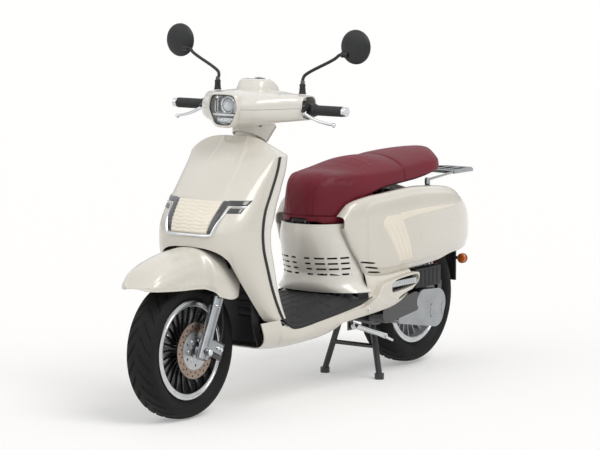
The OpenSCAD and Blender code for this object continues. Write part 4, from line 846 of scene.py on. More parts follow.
def floor_tray():
    s, t = np.broadcast_arrays(np.sin(np.radians(np.linspace(-90, 90, 61)))[None, :],
                               np.linspace(0, 1, 50)[:, None])
    deck = floor_face(s, t)
    a = arc_angles(50, 0.6, 190, 80)[None, :]
    a, t = np.broadcast_arrays(a, np.linspace(0, 1, 80)[:, None])
    belly = tray_face(t, a)
    parts = [(*panel(deck, -WALL), WHITE), (*panel(belly, WALL), PEARL)]
    for s in (-1, 1):
        parts.append((*rounded((s * 96, -279, 251), (s * 116, -129, 296), 2), PLASTIC))
    build("floor_tray", parts, "chassis", ["floor_pan"], bevel=0.7, limit=55)


def side_prism(outline, x0, x1, passes=2):
    """Closed outline of (y from the rear axle, z) drawn out between two places across the machine."""
    p = np.asarray(outline, float)
    p = rounded_path(np.vstack([(p[-1] + p[0]) / 2, p, (p[-1] + p[0]) / 2]), passes)[:-1]
    return loft([stack(np.full(len(p), x), REAR_Y + p[:, 0], p[:, 1]) for x in (x0, x1)])


WING_EDGE = [[-730, 248], [-664, 250], [-584, 261], [-470, 266], [-374, 278], [-300, 308], [-240, 340],
             [-226, 352], [-224, 374],
             [-232, 381], [-330, 374], [-449, 362], [-470, 338], [-486, 314], [-560, 294], [-612, 286],
             [-640, 283], [-730, 272]]
PEG_RECESS = [[-404, 332], [-400, 366], [-262, 375], [-236, 372], [-233, 350], [-262, 334], [-396, 322]]
WING_SLIT = [[-366, 294], [-352, 308], [-272, 325], [-268, 320], [-330, 300]]


def wing_cover():
    """Side cover under the cowl that carries the folded footpeg in its recess."""
    outline = np.asarray(WING_EDGE, float)
    path = rounded_path(np.vstack([outline, outline[:1]]), 2)[:-1]
    mid = path.mean(axis=0)
    rings = []
    for x, inset in ((172, 0), (204, 0), (209, 1.0), (212.4, 3.2), (213.6, 6.5)):
        p = path + unit(mid - path) * inset
        lean = lerp(0.48, 1.0, ease(-730, -520, p[:, 0]))
        rings.append(stack(172 + (x - 172) * lean, REAR_Y + p[:, 0], p[:, 1]))
    wing = cut((*loft(rings), PEARL), (*side_prism(PEG_RECESS, 186, 230), PAINTED_SHADE),
               (*side_prism(WING_SLIT, 196, 230), PAINTED_SHADE))
    # The near-black sheets on the floor of the peg recess and behind the slit are painted shade
    parts = [wing, (*side_prism(PEG_RECESS, 184, 187), PAINTED_SHADE),
             (*side_prism(WING_SLIT, 194, 197), PAINTED_SHADE)]
    build("footpeg_wings", parts + [mirrored(p) for p in parts], "chassis", angle=45)


GUARD_SIDE = [[205, 232], [300, 196], [384, 190], [451, 146], [510, 108], [560, 66]]
GUARD_MID = [[205, 276], [300, 278], [400, 262], [500, 238], [560, 262]]


def wheel_guard():
    z = np.linspace(224, 529, 100)[:, None]
    t = np.sin(np.radians(np.linspace(-90, 90, 91)))[None, :]
    z, t = np.broadcast_arrays(z, t)
    grid = stack(144 * t, FRONT_Y + lerp(curve(GUARD_MID, z), curve(GUARD_SIDE, z), np.abs(t) ** 10), z)
    x = np.abs(grid[..., 0])
    slots = (1 - ease(3, 5,
                      np.abs((z - 300) % 26
                             - 13))) * (z > 300) * (z < 430) * (1 - ease(78, 82, x)) * ease(30, 34, x)
    grid[..., 1] += 3.0 * slots
    tab = rounded((-14, FRONT_Y + curve(GUARD_MID, 350) + 1, 350), (14, FRONT_Y + 277, 380), 2)
    build("wheel_splash_guard", [(*panel(grid, -WALL), PLASTIC), (*tab, PLASTIC)], "chassis",
          ["splash_guard"], bevel=0.6, limit=55)


front_mudguard()
floor_mat()
floor_tray()
wing_cover()
wheel_guard()

# Handlebar cover, lamp and controls
ARM_FRONT = [[0, -196], [60, -191], [110, -168], [150, -112], [180, -62], [205, -36]]
ARM_BACK = [[0, 80], [100, 76], [150, 60], [205, 46]]
ARM_UP = [[0, 60], [60, 56], [120, 48], [205, 40]]
ARM_DOWN = [[0, 66], [60, 61], [120, 50], [205, 40]]
LAMP = np.array([[-32, -48], [32, -48], [60, 8], [47, 53], [-47, 53], [-60, 8]], float)
DIAL_AT, DIAL_TILT = np.array([0, 30, 72.0]), math.radians(-38)


def hexagon(scale, y, soften=3):
    """The lamp's outline, scaled about its middle, at a place along the machine."""
    mid = LAMP.mean(axis=0)
    p = mid + (LAMP - mid) * scale
    p = np.stack([lerp(p, np.roll(p, 1, axis=0), 0.14), lerp(p, np.roll(p, -1, axis=0), 0.14)],
                 axis=1).reshape(-1, 2)
    p = rounded_path(np.vstack([(p[-1] + p[0]) / 2, p, (p[-1] + p[0]) / 2]), soften)[:-1]
    return stack(p[:, 0], np.full(len(p), y), p[:, 1]) + BAR


def headset_face(up):
    i = np.radians(np.linspace(-90, 90, 141))[:, None]
    a = (arc_angles(34, 0.72, 120, 60) + math.pi / 2)[None, :]
    i, a = np.broadcast_arrays(i, a)
    x = 205 * np.sin(i)
    r = np.abs(x)
    f, b = curve(ARM_FRONT, r), curve(ARM_BACK, r)
    h = curve(ARM_UP, r) if up > 0 else -curve(ARM_DOWN, r)
    y = lerp(f, b, 0.5 - 0.5 * spow(np.cos(a), 0.72))
    grid = stack(x, y, 6 + 0.5 * up + h * np.maximum(np.sin(a), 0) ** 0.72)
    if up > 0:
        near, slant = np.abs(r - 122) - 30, np.abs(y + 40 + (r - 122) * 0.9) - 15
        inset = (1 - ease(0, 4, near)) * (1 - ease(0, 4, slant))
        grid = grid + (1.8 * inset)[..., None] * normals(grid)
    return grid + BAR


def cap_ring(x, y0, y1, z):
    a = np.linspace(0, 2 * math.pi, 72, endpoint=False)
    return stack(x * spow(np.cos(a), 0.6), lerp(y0, y1, 0.5 + 0.5 * spow(np.sin(a), 0.6)), z) + BAR


def dial_place(points):
    """From the instrument's own frame to the machine's."""
    p = np.asarray(points, float)
    c, s = math.cos(DIAL_TILT), math.sin(DIAL_TILT)
    return stack(p[..., 0], p[..., 1] * c - p[..., 2] * s, p[..., 1] * s + p[..., 2] * c) + DIAL_AT + BAR


def headset():
    tool = (*loft([hexagon(1.0, -270, 1), hexagon(1.0, -110, 1)]), WHITE)
    top = cut((*panel(headset_face(1), WALL), WHITE), tool)
    knots = [(64, -74, 58, 42), (62.5, -72.5, 57.5, 56), (60, -70, 56, 66), (57.5, -66, 54.5, 77),
             (54, -60, 52, 88), (51.5, -56, 49.5, 93.5), (48, -52, 46, 96)]
    wedge = rounded((-150, -40, 0), (150, 160, 100), 1)
    cap = cut((*loft([cap_ring(*k) for k in knots]), WHITE), (dial_place(wedge[0]), wedge[1], WHITE))
    parts = [top, cap]
    for s in (-1, 1):
        parts.append((*spin([(0.5, 30), (13, 30), (13, 50.5), (11.5, 52), (0.5, 52)],
                            BAR + [s * 178, 4, 0], (0, 0, 1), 40, False), WHITE))
    build("headset_top_cover", parts, "steering", ["headset_upper"], bevel=0.8, limit=48)
    under = cut((*panel(headset_face(-1), -WALL), WHITE), tool)
    turn = np.linspace(0, 2 * math.pi, 72, endpoint=False)
    outer = [fork((58 + s * 0.35) * np.cos(turn), 61 + (66 + s * 0.2) * np.sin(turn), 763 + s)
             for s in np.linspace(0, 58, 14)]
    inner = [fork((55 + s * 0.35) * np.cos(turn), 61 + (63 + s * 0.2) * np.sin(turn), 763 + s)
             for s in np.linspace(58, 0, 4)]
    neck = loft(np.array(outer + inner + outer[:1]), False)
    ledges = [(*rounded(BAR + [s * 28, -20, -32], BAR + [s * 106, -8, -20], 2), PLASTIC) for s in (-1, 1)]
    build("headset_lower_cover", [under, (*neck, WHITE), *ledges], "steering",
          ["headset_lower"], bevel=0.8, limit=48)
    side = [(58 + 12) * math.cos(math.radians(-32)), 61 + (66 + 6) * math.sin(math.radians(-32)),
            763 + 34]
    # The screw hole is a near-black disc: painted shade
    eye = spin([(0.4, 0.3), (5.2, 0.3), (6.6, 1.2), (6.6, -3), (0.4, -3)],
               fork(side[0], side[1], side[2]), (0.82, -0.57, 0.0), 24, False)
    build("neck_screw_hole", [(*eye, PAINTED_SHADE)], "steering")


def headlight():
    bezel = loft(np.array([hexagon(1.17, -176), hexagon(1.17, -192), hexagon(1.13, -199),
                           hexagon(1.07, -202), hexagon(1.02, -201), hexagon(0.995, -196),
                           hexagon(0.99, -170), hexagon(1.17, -176)]), False)
    build("lamp_bezel", [(*bezel, WHITE)], "steering", angle=50)
    gasket = loft(np.array([hexagon(1.0, -184), hexagon(1.0, -196.5), hexagon(0.955, -196.5),
                            hexagon(0.955, -184), hexagon(1.0, -184)]), False)
    back = loft([hexagon(0.98, -150), hexagon(0.98, -160), hexagon(0.6, -150)])
    parts = [(*gasket, RUBBER), (*back, LAMP_BOWL)]
    # Projector with its ring, fins to both sides, divider bar and lower strip
    eye = BAR + [0, -166, 17]
    parts.append((*spin([(0.2, 17), (9, 15.2), (16, 10.5), (21, 3), (22.5, -4), (22.5, -14), (0.2, -14)],
                        eye, (0, -1, 0), 48, False), LAMP_GLASS))
    parts.append((*spin([(23, -12), (29, -12), (29.5, 4), (27, 8), (23.5, 5)], eye, (0, -1, 0), 48),
                  CHROME))
    for s in (-1, 1):
        for k in range(3):
            x = s * (30 + k * 7.5)
            path = np.array([[x + s * 5 * math.cos(a), -172 - 3 * k + 0 * a, 17 + 26 * math.sin(a)]
                             for a in np.radians(np.linspace(-62, 62, 15))])
            rings = [loft_row for loft_row in ([p + [-1.6, 4, 0], p + [1.6, 4, 0], p + [1.2, -9, 0],
                                                p + [-1.2, -9, 0]] for p in path + BAR)]
            parts.append((*loft(np.array(rings)), CHROME))
    parts.append((*rounded(BAR + [-52, -192, -17], BAR + [52, -174, -10.5], 2.5), LAMP_LIT))
    parts.append((*rounded(BAR + [-34, -188, -41], BAR + [34, -176, -24], 3), CHROME))
    for k in range(5):
        parts.append((*spin([(0.2, 4), (3.6, 3), (5.2, 0), (5.2, -4), (0.2, -4)],
                            BAR + [-24 + 12 * k, -189, -32], (0, -1, 0), 20, False), LAMP_GLASS))
    build("headlight_inside", parts, "steering", ["headlight"], angle=45)
    face = [(0.96, -193), (0.96, -195.5), (0.9, -197.5), (0.5, -199), (0.02, -199.4), (0.02, -198.2),
            (0.5, -197.8), (0.9, -196.3), (0.94, -193)]
    cover = loft(np.array([hexagon(*row) for row in [*face, face[0]]]), False)
    build("headlight_cover", [(*cover, CLEAR)], "steering")


def dial():
    rings = [(*spin([(38, 4), (43, 4), (43, 8), (40, 9.5), (38, 8)], (0, 0, 0), (0, 0, 1), 64), CHROME),
             (*spin([(0.2, 5.6), (38.4, 5.6), (38.4, 2), (0.2, 2)], (0, 0, 0), (0, 0, 1), 64, False),
              DIAL)]
    parts = [(dial_place(np.asarray(v) + [0, 4, 0]), f, m) for v, f, m in rings]
    build("instrument_face", parts, "steering", ["instrument_dial"])
    a = np.radians(np.arange(-120, 121, 20))
    places = dial_place(np.stack([31 * np.sin(a), 4 + 31 * np.cos(a), np.full(len(a), 5.8)], axis=1))
    tick = rounded((-0.7, -3, -0.3), (0.7, 3, 0.3), 0.2)
    lean = Matrix.Rotation(DIAL_TILT, 3, "X")
    turns = [tuple((lean @ Matrix.Rotation(-t, 3, "Z")).to_euler()) for t in a]
    repeated("dial_ticks", tick, places, turns, GREY_BUTTON, "steering")


def grip_profile(bore):
    rows = [(bore, 0), (19, 0), (21, 1.2), (21, 5), (19.4, 6.4), (16.6, 8)]
    for k in range(9):
        h = 12 + k * 10.6
        rows += [(16.4, h), (17.3, h + 1.0), (17.3, h + 6.6), (16.4, h + 7.6), (15.8, h + 8.4),
                 (15.8, h + 9.8)]
    return rows + [(16.4, 108), (17.2, 109), (17.2, 113.5), (16.2, 115.2), (bore, 115.2)]


def controls():
    for side, node, name in ((1, "left_grip", "left_grip_rubber"),
                             (-1, "throttle_grip", "throttle_grip_rubber")):
        rubber = spin(grip_profile(11.2), BAR + [side * 229.8, 0, 0], (side, 0, 0), 56)
        build(name, [(*rubber, RUBBER)], BODY_OF[node], [node], angle=30)
    weights = []
    for side in (-1, 1):
        rows = [(11.2, 0.3), (14.5, 0.3), (16, 1.6), (16, 4.6), (13.6, 5.4), (13.6, 8), (16, 8.8),
                (16, 12.4), (13.4, 15.6), (6.5, 15.8), (5.8, 12.4), (0.3, 12.4)]
        weights.append((*spin(rows, BAR + [side * 346.4, 0, 0], (side, 0, 0), 48, False), CHROME))
    softened("handlebar", 0.6, weights, CHROME)
    softened("lever_perches")
    softened("horn_button", 0.8)
    softened("start_button", 0.8)
    c, s = math.cos(math.radians(30)), math.sin(math.radians(30))
    knots = rounded_path([(-2, 0, 0), (10, -7, -2), (46, -18, -16), (82, -17.5, -27), (112, -12, -34)], 3)
    swell = np.interp(np.linspace(0, 1, len(knots)), [0, 0.1, 0.4, 0.85, 1], [7.5, 6.6, 5.6, 5.0, 5.4])
    lever = tube(knots, swell, 18)
    ball = spin([(0.2, -7.6), (4.6, -6), (7.2, -2.2), (7.6, 1.5), (5.6, 5.4), (0.2, 7.6)],
                (113.5, -12, -34.4), (0.97, 0.08, -0.2), 28, False)
    boss = spin([(4.1, -6), (8.2, -6), (9, -5), (9, 5), (8.2, 6), (4.1, 6)], (0, 0, 0), (0, 0, 1), 36)
    for node, flip in (("brake_lever_left", 1), ("brake_lever_right", -1)):
        parts = []
        for verts, faces in (lever, ball, boss):
            p = np.asarray(verts) * [1, 0.82 if faces is lever[1] else 1, 1]
            world = stack(p[:, 0], p[:, 1] * c - p[:, 2] * s, p[:, 1] * s + p[:, 2] * c) + [214, -34, -8]
            part = (world, faces, CHROME)
            part = mirrored(part) if flip < 0 else part
            parts.append((part[0] + BAR, part[1], CHROME))
        build(node + "_blade", parts, BODY_OF[node], [node])


def mirrors():
    foot, kink, pin = np.array([178, 4, 52.0]), np.array([176, 12, 114.0]), np.array([330, 26, 186.0])
    route = rounded_path([foot + [0, 0, 20], foot + [0, 1, 36], kink - [1, 2, 12], kink + [9, 1, 5],
                          pin - [34, 4, 17], pin - [20, 1, 3], pin - [11.5, 0, 0]], 3)
    stem = (*tube(route, 5.4, 16), PLASTIC)
    boot = (*spin([(0.3, 0), (12.4, 0), (12.6, 3), (11.2, 4.5), (9.6, 24), (10.4, 26), (10.2, 31),
                   (7, 34), (0.3, 34)], foot, (0, 0.02, 1), 36, False), RUBBER)
    nut = (*spin([(0.3, 34), (8.2, 34), (8.2, 43), (6, 44), (0.3, 44)], foot, (0, 0.05, 1), 6, False),
           ENAMEL)
    pivot = (*spin([(0.3, -14), (5, -14), (5, 12), (0.3, 12)], pin, (1, 0, 0), 24, False), SILVER)
    left = [stem, boot, nut, pivot]
    build("mirror_arms", [(p[0] + BAR, p[1], p[2]) for part in left for p in (part, mirrored(part))],
          "steering", ["mirror_stems"])
    head = pin + [38, 14, 26]
    dome = [(57 * math.cos(t), -20 * math.sin(t)) for t in np.radians(np.linspace(90, 0, 22))]
    lip = [(57.2, 3), (56.4, 5.6), (54.6, 6), (53.2, 5.2), (52.8, 3.2), (0.3, 3.2)]
    case = (*spin([(max(r, 0.3), h) for r, h in dome] + lip, head, (0, 1, 0), 72, False), PLASTIC)
    pane = [(0.3, 3.3), (52.6, 3.3), (52.6, 4.6), (52, 5.2), (0.3, 5.2)]
    glass = (*spin(pane, head, (0, 1, 0), 72, False), MIRROR)
    sleeve = (*spin([(5.06, -8.5), (9, -8.5), (10, -7.5), (10, 17), (9, 18), (5.06, 18)], pin, (1, 0, 0),
                    36), PLASTIC)
    for node, flip in (("mirror_head_left", 1), ("mirror_head_right", -1)):
        parts = [mirrored(p) if flip < 0 else p for p in (case, glass, sleeve)]
        build(node + "_case", [(p[0] + BAR, p[1], p[2]) for p in parts], BODY_OF[node],
              [node])


# Lamp glass and bowl
LAMP_BOWL = finish("lamp_bowl", ("#6F757B", "#868C92"), (0.12, 0.2), (8.0, 0.02), 40, Metallic=0.9)
LAMP_GLASS = finish("lamp_lens", ("#E3EBF2", "#F2F6FA"), (0.04, 0.1), (12.0, 0.01), 30, Coat_Weight=1.0)
LAMP_LIT = finish("lamp_divider", ("#EEF0F1", "#F8F9FA"), (0.2, 0.3), (3.0, 0.01), 30, Coat_Weight=0.5)
CLEAR = finish("clear_lamp_cover", ("#F4F7FA", "#FFFFFF"), (0.02, 0.05), (30.0, 0.003), 60, Alpha=0.08,
               Coat_Weight=1.0)

headset()
headlight()
dial()
controls()
mirrors()

# Seat box, cowls, seat and tail
def box_face(a, z):
    return stack(curve(BOX_HALF, z) * spow(np.sin(a), 0.9),
                 REAR_Y + BOX_BACK + (curve(BOX_FRONT, z) - BOX_BACK) * np.abs(np.cos(a)) ** 0.9, z)


def seat_box():
    a, z = np.broadcast_arrays(arc_angles(44, 0.9, 150, 170)[None, :], np.linspace(578, 338, 60)[:, None])
    grid = box_face(a, z)
    slots = []
    for row in range(4):
        for deg in (-62, -44, -26, -9, 9, 26, 44, 62):
            t = math.radians(deg)
            half = 18 if abs(deg) > 14 else 11
            verts, faces = rounded((-half, -20, -3.2), (half, 20, 3.2), 2.4)
            turned = stack(verts[:, 0] * math.cos(t) - verts[:, 1] * math.sin(t),
                           verts[:, 0] * math.sin(t) + verts[:, 1] * math.cos(t), verts[:, 2])
            slots.append((turned + box_face(t, 458.7 - 19.2 * row), faces))
    wall = cut((*panel(grid, WALL), WHITE), (*joined(slots), WHITE))
    # A near-black sheet behind the slots is painted shade
    backing = (grid + 14 * normals(grid))[24:44, 8:-8]
    tabs = [(*rounded((s * 120, REAR_Y - 524, 500), (s * 144, REAR_Y - 520, 520), 1), WHITE)
            for s in (-1, 1)]
    build("seat_box_shell", [wall, (*panel(backing, 1.0), PAINTED_SHADE), *tabs], "chassis",
          ["seat_box"], angle=45)


COWL_TOP = [[-598, 604], [-560, 643], [-484, 663], [-386, 670], [-260, 676], [-159, 675], [44, 655],
            [133, 630], [211, 586], [244, 533], [252, 492]]
COWL_FOOT = [[-598, 560], [-565, 494], [-524, 434], [-492, 396], [-401, 382], [-284, 385], [-147, 389],
             [-34, 398], [55, 413], [160, 416], [230, 428], [252, 474]]
COWL_HALF = [[-598, 148], [-510, 176], [-400, 192], [-250, 196], [-100, 193], [60, 174], [160, 150],
             [230, 118], [252, 98]]
COWL_IN = [[-668, 44], [-650, 70], [-620, 94], [-570, 118], [-500, 140], [-410, 150], [-260, 150],
           [-100, 138], [40, 122], [120, 98], [172, 54]]


def cowl_swell(y, z):
    """Height of the cowl's inner field above its border."""
    away = np.stack([curve(COWL_TOP, y) - z - 22, z - curve(COWL_FOOT, y) - 26, y + 598 - 96, 236 - y])
    inside = -14 * np.log(np.exp(-np.clip(away, -200, 400) / 14).sum(axis=0))
    return 3.6 * ease(-6, 6, inside)


def cowl_face(y, s, lift=0.0):
    """Point of the left cowl: s runs from -1 at its foot to 1 at its top."""
    y, s = np.broadcast_arrays(np.asarray(y, float), np.asarray(s, float))
    sine = spow(s, 1 / 0.75)
    w = curve(COWL_HALF, y)
    edge = np.where(s > 0, np.minimum(curve(COWL_IN, y) + 8, w - 26), np.minimum(156.0, w - 14))
    z = lerp(curve(COWL_FOOT, y), curve(COWL_TOP, y), 0.5 + 0.5 * s)
    x = edge + (w - edge) * np.sqrt(np.maximum(1 - sine**2, 0)) ** 0.62
    grid = stack(x, REAR_Y + y, z)
    way = normals(grid)
    return grid + (cowl_swell(y, z) + lift)[..., None] * way * np.sign(way[..., :1].mean() or 1)


def cowl_height(y, z):
    low, high = curve(COWL_FOOT, y), curve(COWL_TOP, y)
    return np.clip(2 * (z - low) / (high - low) - 1, -0.98, 0.98)


def on_cowl(y, z, lift):
    return cowl_face(y, cowl_height(y, z), lift)


COWL_SLOTS = [((-526, 441), (-465, 432)), ((-506, 422), (-445, 412)), ((-489, 403), (-424, 395))]
BLOCK_LEFT = [[427, -331], [468, -358], [532, -405], [569, -428], [592, -404]]
BLOCK_RIGHT = [[427, -246], [495, -274], [545, -301], [569, -311], [592, -318]]
STRIPE_TOP = [[-330, 596], [-180, 599], [43, 592]]
STRIPE_FOOT = [[-330, 568], [-243, 577], [-137, 582], [43, 585]]


def cowls():
    y = np.concatenate([np.linspace(-598, -560, 24)[:-1], np.linspace(-560, 200, 130)[:-1],
                        np.linspace(200, 252, 30)])[:, None]
    s = spow(np.sin(np.radians(np.linspace(-90, 90, 81))), 0.75)[None, :]
    y, s = np.broadcast_arrays(y, s)
    outer = cowl_face(y, s)
    way = normals(outer)
    sense = np.sign(way[60, 40, 0])
    wall = (*shell(outer, outer - sense * WALL * way), PEARL)
    tools = [spin([(0.2, -60), (13, -60), (13, 60), (0.2, 60)], (148, REAR_Y - 85, 672), (0, 0, 1), 40,
                  False)]
    backs = []
    for (y0, z0), (y1, z1) in COWL_SLOTS:
        tools.append(side_prism([(y0, z0 - 3), (y1, z1 - 3), (y1 + 2, z1 + 3), (y0 + 2, z0 + 3)], 120,
                                230, 1))
        v, u = np.meshgrid(np.linspace(-6, 6, 4), np.linspace(0, 1, 10), indexing="ij")
        # A near-black sheet behind each slot is painted shade
        backs.append((*panel(on_cowl(lerp(y0, y1, u), lerp(z0, z1, u) + v, -9 + 0 * u), 1.0), PAINTED_SHADE))
    peg = (*spin([(0.2, 140), (8, 140), (8, 190), (0.2, 190)], (0, REAR_Y - 170, 560), (1, 0, 0), 24,
                 False), PLASTIC)
    left = [cut(wall, (*joined(tools), PEARL)), *backs, peg]
    # Cream inlay: a ribbed block and a stripe that thins towards the tail
    z, u = np.meshgrid(np.linspace(427, 592, 70), np.linspace(0, 1, 61), indexing="ij")
    edge = np.minimum(1, 9 * np.minimum(np.minimum(u, 1 - u), np.minimum(z - 427, 592 - z) / 90)) ** 0.5
    rib = ease(0.12, 0.3, np.abs((u * 4 + 0.5) % 1 - 0.5)) * ease(432, 446, z) * (1 - ease(556, 574, z))
    across_block = lerp(curve(BLOCK_LEFT, z), curve(BLOCK_RIGHT, z), u)
    block = shell(on_cowl(across_block, z, 0.3 + 1.0 * edge + 1.1 * rib),
                  on_cowl(across_block, z, -0.6 + 0 * z))
    v, along = np.meshgrid(np.linspace(0, 1, 16), np.linspace(-330, 43, 120), indexing="ij")
    edge = np.minimum(1, 6 * np.minimum(np.minimum(v, 1 - v), (43 - along) / 60)) ** 0.5
    high = lerp(curve(STRIPE_FOOT, along), curve(STRIPE_TOP, along), v)
    stripe = shell(on_cowl(along, high, 0.3 + 1.0 * edge), on_cowl(along, high, -0.6 + 0 * v))
    inlay = [(*block, CREAM), (*stripe, CREAM)]
    for node, flip in (("cowl_left", False), ("cowl_right", True)):
        build(node + "_shell", [mirrored(p) if flip else p for p in left], "chassis",
              [node], angle=45)
        build(node + "_inlay", [mirrored(p) if flip else p for p in inlay], "chassis",
              angle=50)


WING_TOP = [[-500, 296], [-486, 306], [-470, 330], [-449, 354], [-330, 366], [-232, 373]]


def side_filler():
    """Panel between the footpeg cover and the cowl, from the seat box back."""
    y, v = np.meshgrid(np.linspace(-500, -238, 50), np.linspace(0, 1, 12), indexing="ij")
    grid = stack(lerp(184, 160, v) + 5 * np.sin(math.pi * v), REAR_Y + y,
                 lerp(curve(WING_TOP, y), curve(COWL_FOOT, y) + 8, v))
    part = (*panel(grid, 2.0), PEARL)
    build("side_filler", [part, mirrored(part)], "chassis", bevel=0.5, limit=55)


SEAT_CROWN = [[-668, 646], [-660, 688], [-640, 724], [-606, 745], [-560, 752], [-510, 754], [-455, 768],
              [-385, 784],
              [-310, 788], [-225, 786], [-180, 791], [-75, 795], [40, 794], [100, 789], [132, 776],
              [150, 742]]
SEAT_EDGE = [[-668, 630], [-660, 664], [-640, 704], [-606, 730], [-560, 741], [-367, 741], [-242, 744],
             [-195, 749],
             [-66, 753], [60, 754], [120, 746], [150, 722]]
SEAT_UNDER = [[-668, 592], [-560, 592], [-500, 622], [-440, 654], [-360, 673], [-240, 683], [-100, 690],
              [40, 704], [150, 707]]
SEAT_SKIRT = [[-668, 10], [-652, 11], [-632, 17], [-530, 17], [-480, 5], [-430, 2], [150, 2]]
SEAT_HALF = [[-668, 38], [-660, 56], [-645, 76], [-620, 96], [-570, 119], [-500, 140], [-410, 150],
             [-260, 150],
             [-100, 140], [0, 130], [45, 116], [90, 88], [125, 58], [150, 26]]
SEAM_Y, PAN = -222.0, 6.0


def seat_rings(inset):
    """Sections of the seat from nose to tail: upright side, edge and crowned top."""
    rings = []
    for y in np.concatenate([np.linspace(-668, -640, 14)[:-1], np.linspace(-640, 100, 110)[:-1],
                             np.linspace(100, 150, 20)]):
        w = curve(SEAT_HALF, y) - inset
        low = curve(SEAT_UNDER, y) + PAN + 0.6 * inset
        high = curve(SEAT_CROWN, y) - inset
        edge = curve(SEAT_EDGE, y) - inset
        e = w - 6 - 0.08 * (edge - low)
        v, u = np.linspace(0, 1, 8), np.linspace(1, 0, 12)
        x = np.concatenate([[w - 8], lerp(w, e + 3, v**2), (e - 2) * u])
        z = np.concatenate([[low], lerp(low + 4, edge - 5, v),
                            edge + 1 + (high - edge - 1) * (1 - u**2.2)])
        rings.append(stack(np.concatenate([x, -x[-2::-1]]), REAR_Y + y, np.concatenate([z, z[-2::-1]])))
    return np.array(rings)


def inflated(points, faces, cap):
    """Cushion cover blown up a little by cloth simulation; no point moves further than cap, in mm."""
    scene = bpy.context.scene
    obj = bpy.data.objects.new("cover", as_mesh("cover", [(points, faces, VINYL)]))
    scene.collection.objects.link(obj)
    remesh = obj.modifiers.new("even", "REMESH")
    remesh.mode, remesh.voxel_size = "VOXEL", 0.005
    bpy.context.view_layer.update()
    even = bpy.data.meshes.new_from_object(obj.evaluated_get(bpy.context.evaluated_depsgraph_get()))
    obj.modifiers.clear()
    obj.data = even
    start = np.array([v.co for v in even.vertices])
    cloth = obj.modifiers.new("cloth", "CLOTH")
    cloth.settings.use_pressure, cloth.settings.uniform_pressure_force = True, 4.0
    cloth.settings.effector_weights.gravity = 0.0
    cloth.point_cache.frame_start, cloth.point_cache.frame_end = 1, 20
    for step in range(1, 21):
        scene.frame_set(step)
    blown = obj.evaluated_get(bpy.context.evaluated_depsgraph_get()).to_mesh()
    moved = np.array([v.co for v in blown.vertices]) - start
    far = np.linalg.norm(moved, axis=1, keepdims=True)
    start = start + moved * np.minimum(1, cap / 1000 / np.maximum(far, 1e-9))
    obj.modifiers.clear()
    scene.frame_set(1)
    out = (start * 1000, [list(p.vertices) for p in even.polygons])
    bpy.data.objects.remove(obj)
    return out


def seat_apron():
    """Lower edge of the cover, turned down round the pan."""
    y = np.concatenate([np.linspace(-430, -640, 60)[:-1], np.linspace(-640, -668, 24)])
    side = np.stack([curve(SEAT_HALF, y) - 0.6, y], axis=1)
    front = [[q, -668.0] for q in np.linspace(side[-1, 0], -side[-1, 0], 20)[1:-1]]
    plan = np.vstack([side, front, (side * [-1, 1])[::-1]])
    way = unit(np.gradient(plan, axis=0))
    inward = np.stack([way[:, 1], -way[:, 0]], axis=1) * lerp(3, 8, ease(-666, -655, plan[:, 1]))[:, None]
    low = curve(SEAT_UNDER, plan[:, 1]) + PAN
    foot = low - curve(SEAT_SKIRT, plan[:, 1]) * ease(32, 36, np.abs(plan[:, 0]))
    rows = [(0, low + 8), (0, foot + 2.5), (0.3, foot), (1, foot + 0.3), (1, low + 0.4)]
    return loft(np.stack([stack(plan[:, 0] + k * inward[:, 0], REAR_Y + plan[:, 1] + k * inward[:, 1], h)
                          for k, h in rows], axis=1))


def seat():
    points, faces = inflated(*loft(seat_rings(3.0)), 3.0)
    corner = np.array([f if len(f) == 4 else f + f[-1:] for f in faces])
    lean = np.cross(points[corner[:, 2]] - points[corner[:, 0]],
                    points[corner[:, 3]] - points[corner[:, 1]])
    out = np.zeros_like(points)
    np.add.at(out, corner.ravel(), np.repeat(lean, 4, axis=0))
    # Seams: the join to the pillion part, the panel edges, the nose panel and the quilting lines
    x, y, z = np.abs(points[:, 0]), points[:, 1] - REAR_Y, points[:, 2]
    low, high = curve(SEAT_UNDER, y) + PAN, curve(SEAT_CROWN, y)
    edge, w = curve(SEAT_EDGE, y), curve(SEAT_HALF, y)
    join = 1 - ease(1.5, 7.0, np.abs(y - SEAM_Y))
    brim = np.hypot(x - (w - 6 - 0.08 * (edge - low)), z - edge)
    seam = (1 - ease(1.0, 4.5, brim)) * (y > -600)
    nose = (1 - ease(1.0, 4.0, np.abs(x - 50))) * (y < -560)
    cross = (1 - ease(0.8, 3.2,
                      np.minimum(np.abs((z + x) % 54 - 27),
                                 np.abs((z - x) % 54 - 27)))) * (x < 46) * (y < -590)
    quilt = np.minimum(np.abs((y + 372) % 44 - 22), np.abs((points[:, 0] + 22) % 44 - 22))
    stitch = (1 - ease(0.8, 3.0, quilt)) * (np.hypot((y + 372) / 118, x / 108) < 1) * (z > edge)
    depth = np.maximum(2.0 * np.maximum(seam, nose) + 1.1 * np.maximum(cross, stitch), 4.0 * join)
    points = points - (depth * ease(0.0, 0.1, (z - low) / (high - low)))[:, None] * unit(out)
    obj = build("seat_cover", [(points, faces, VINYL)], "seat", ["seat_cushion"],
                angle=80)
    build("seat_apron", [(*seat_apron(), VINYL)], "seat", angle=60)
    softened("seat_pan", 0.8)


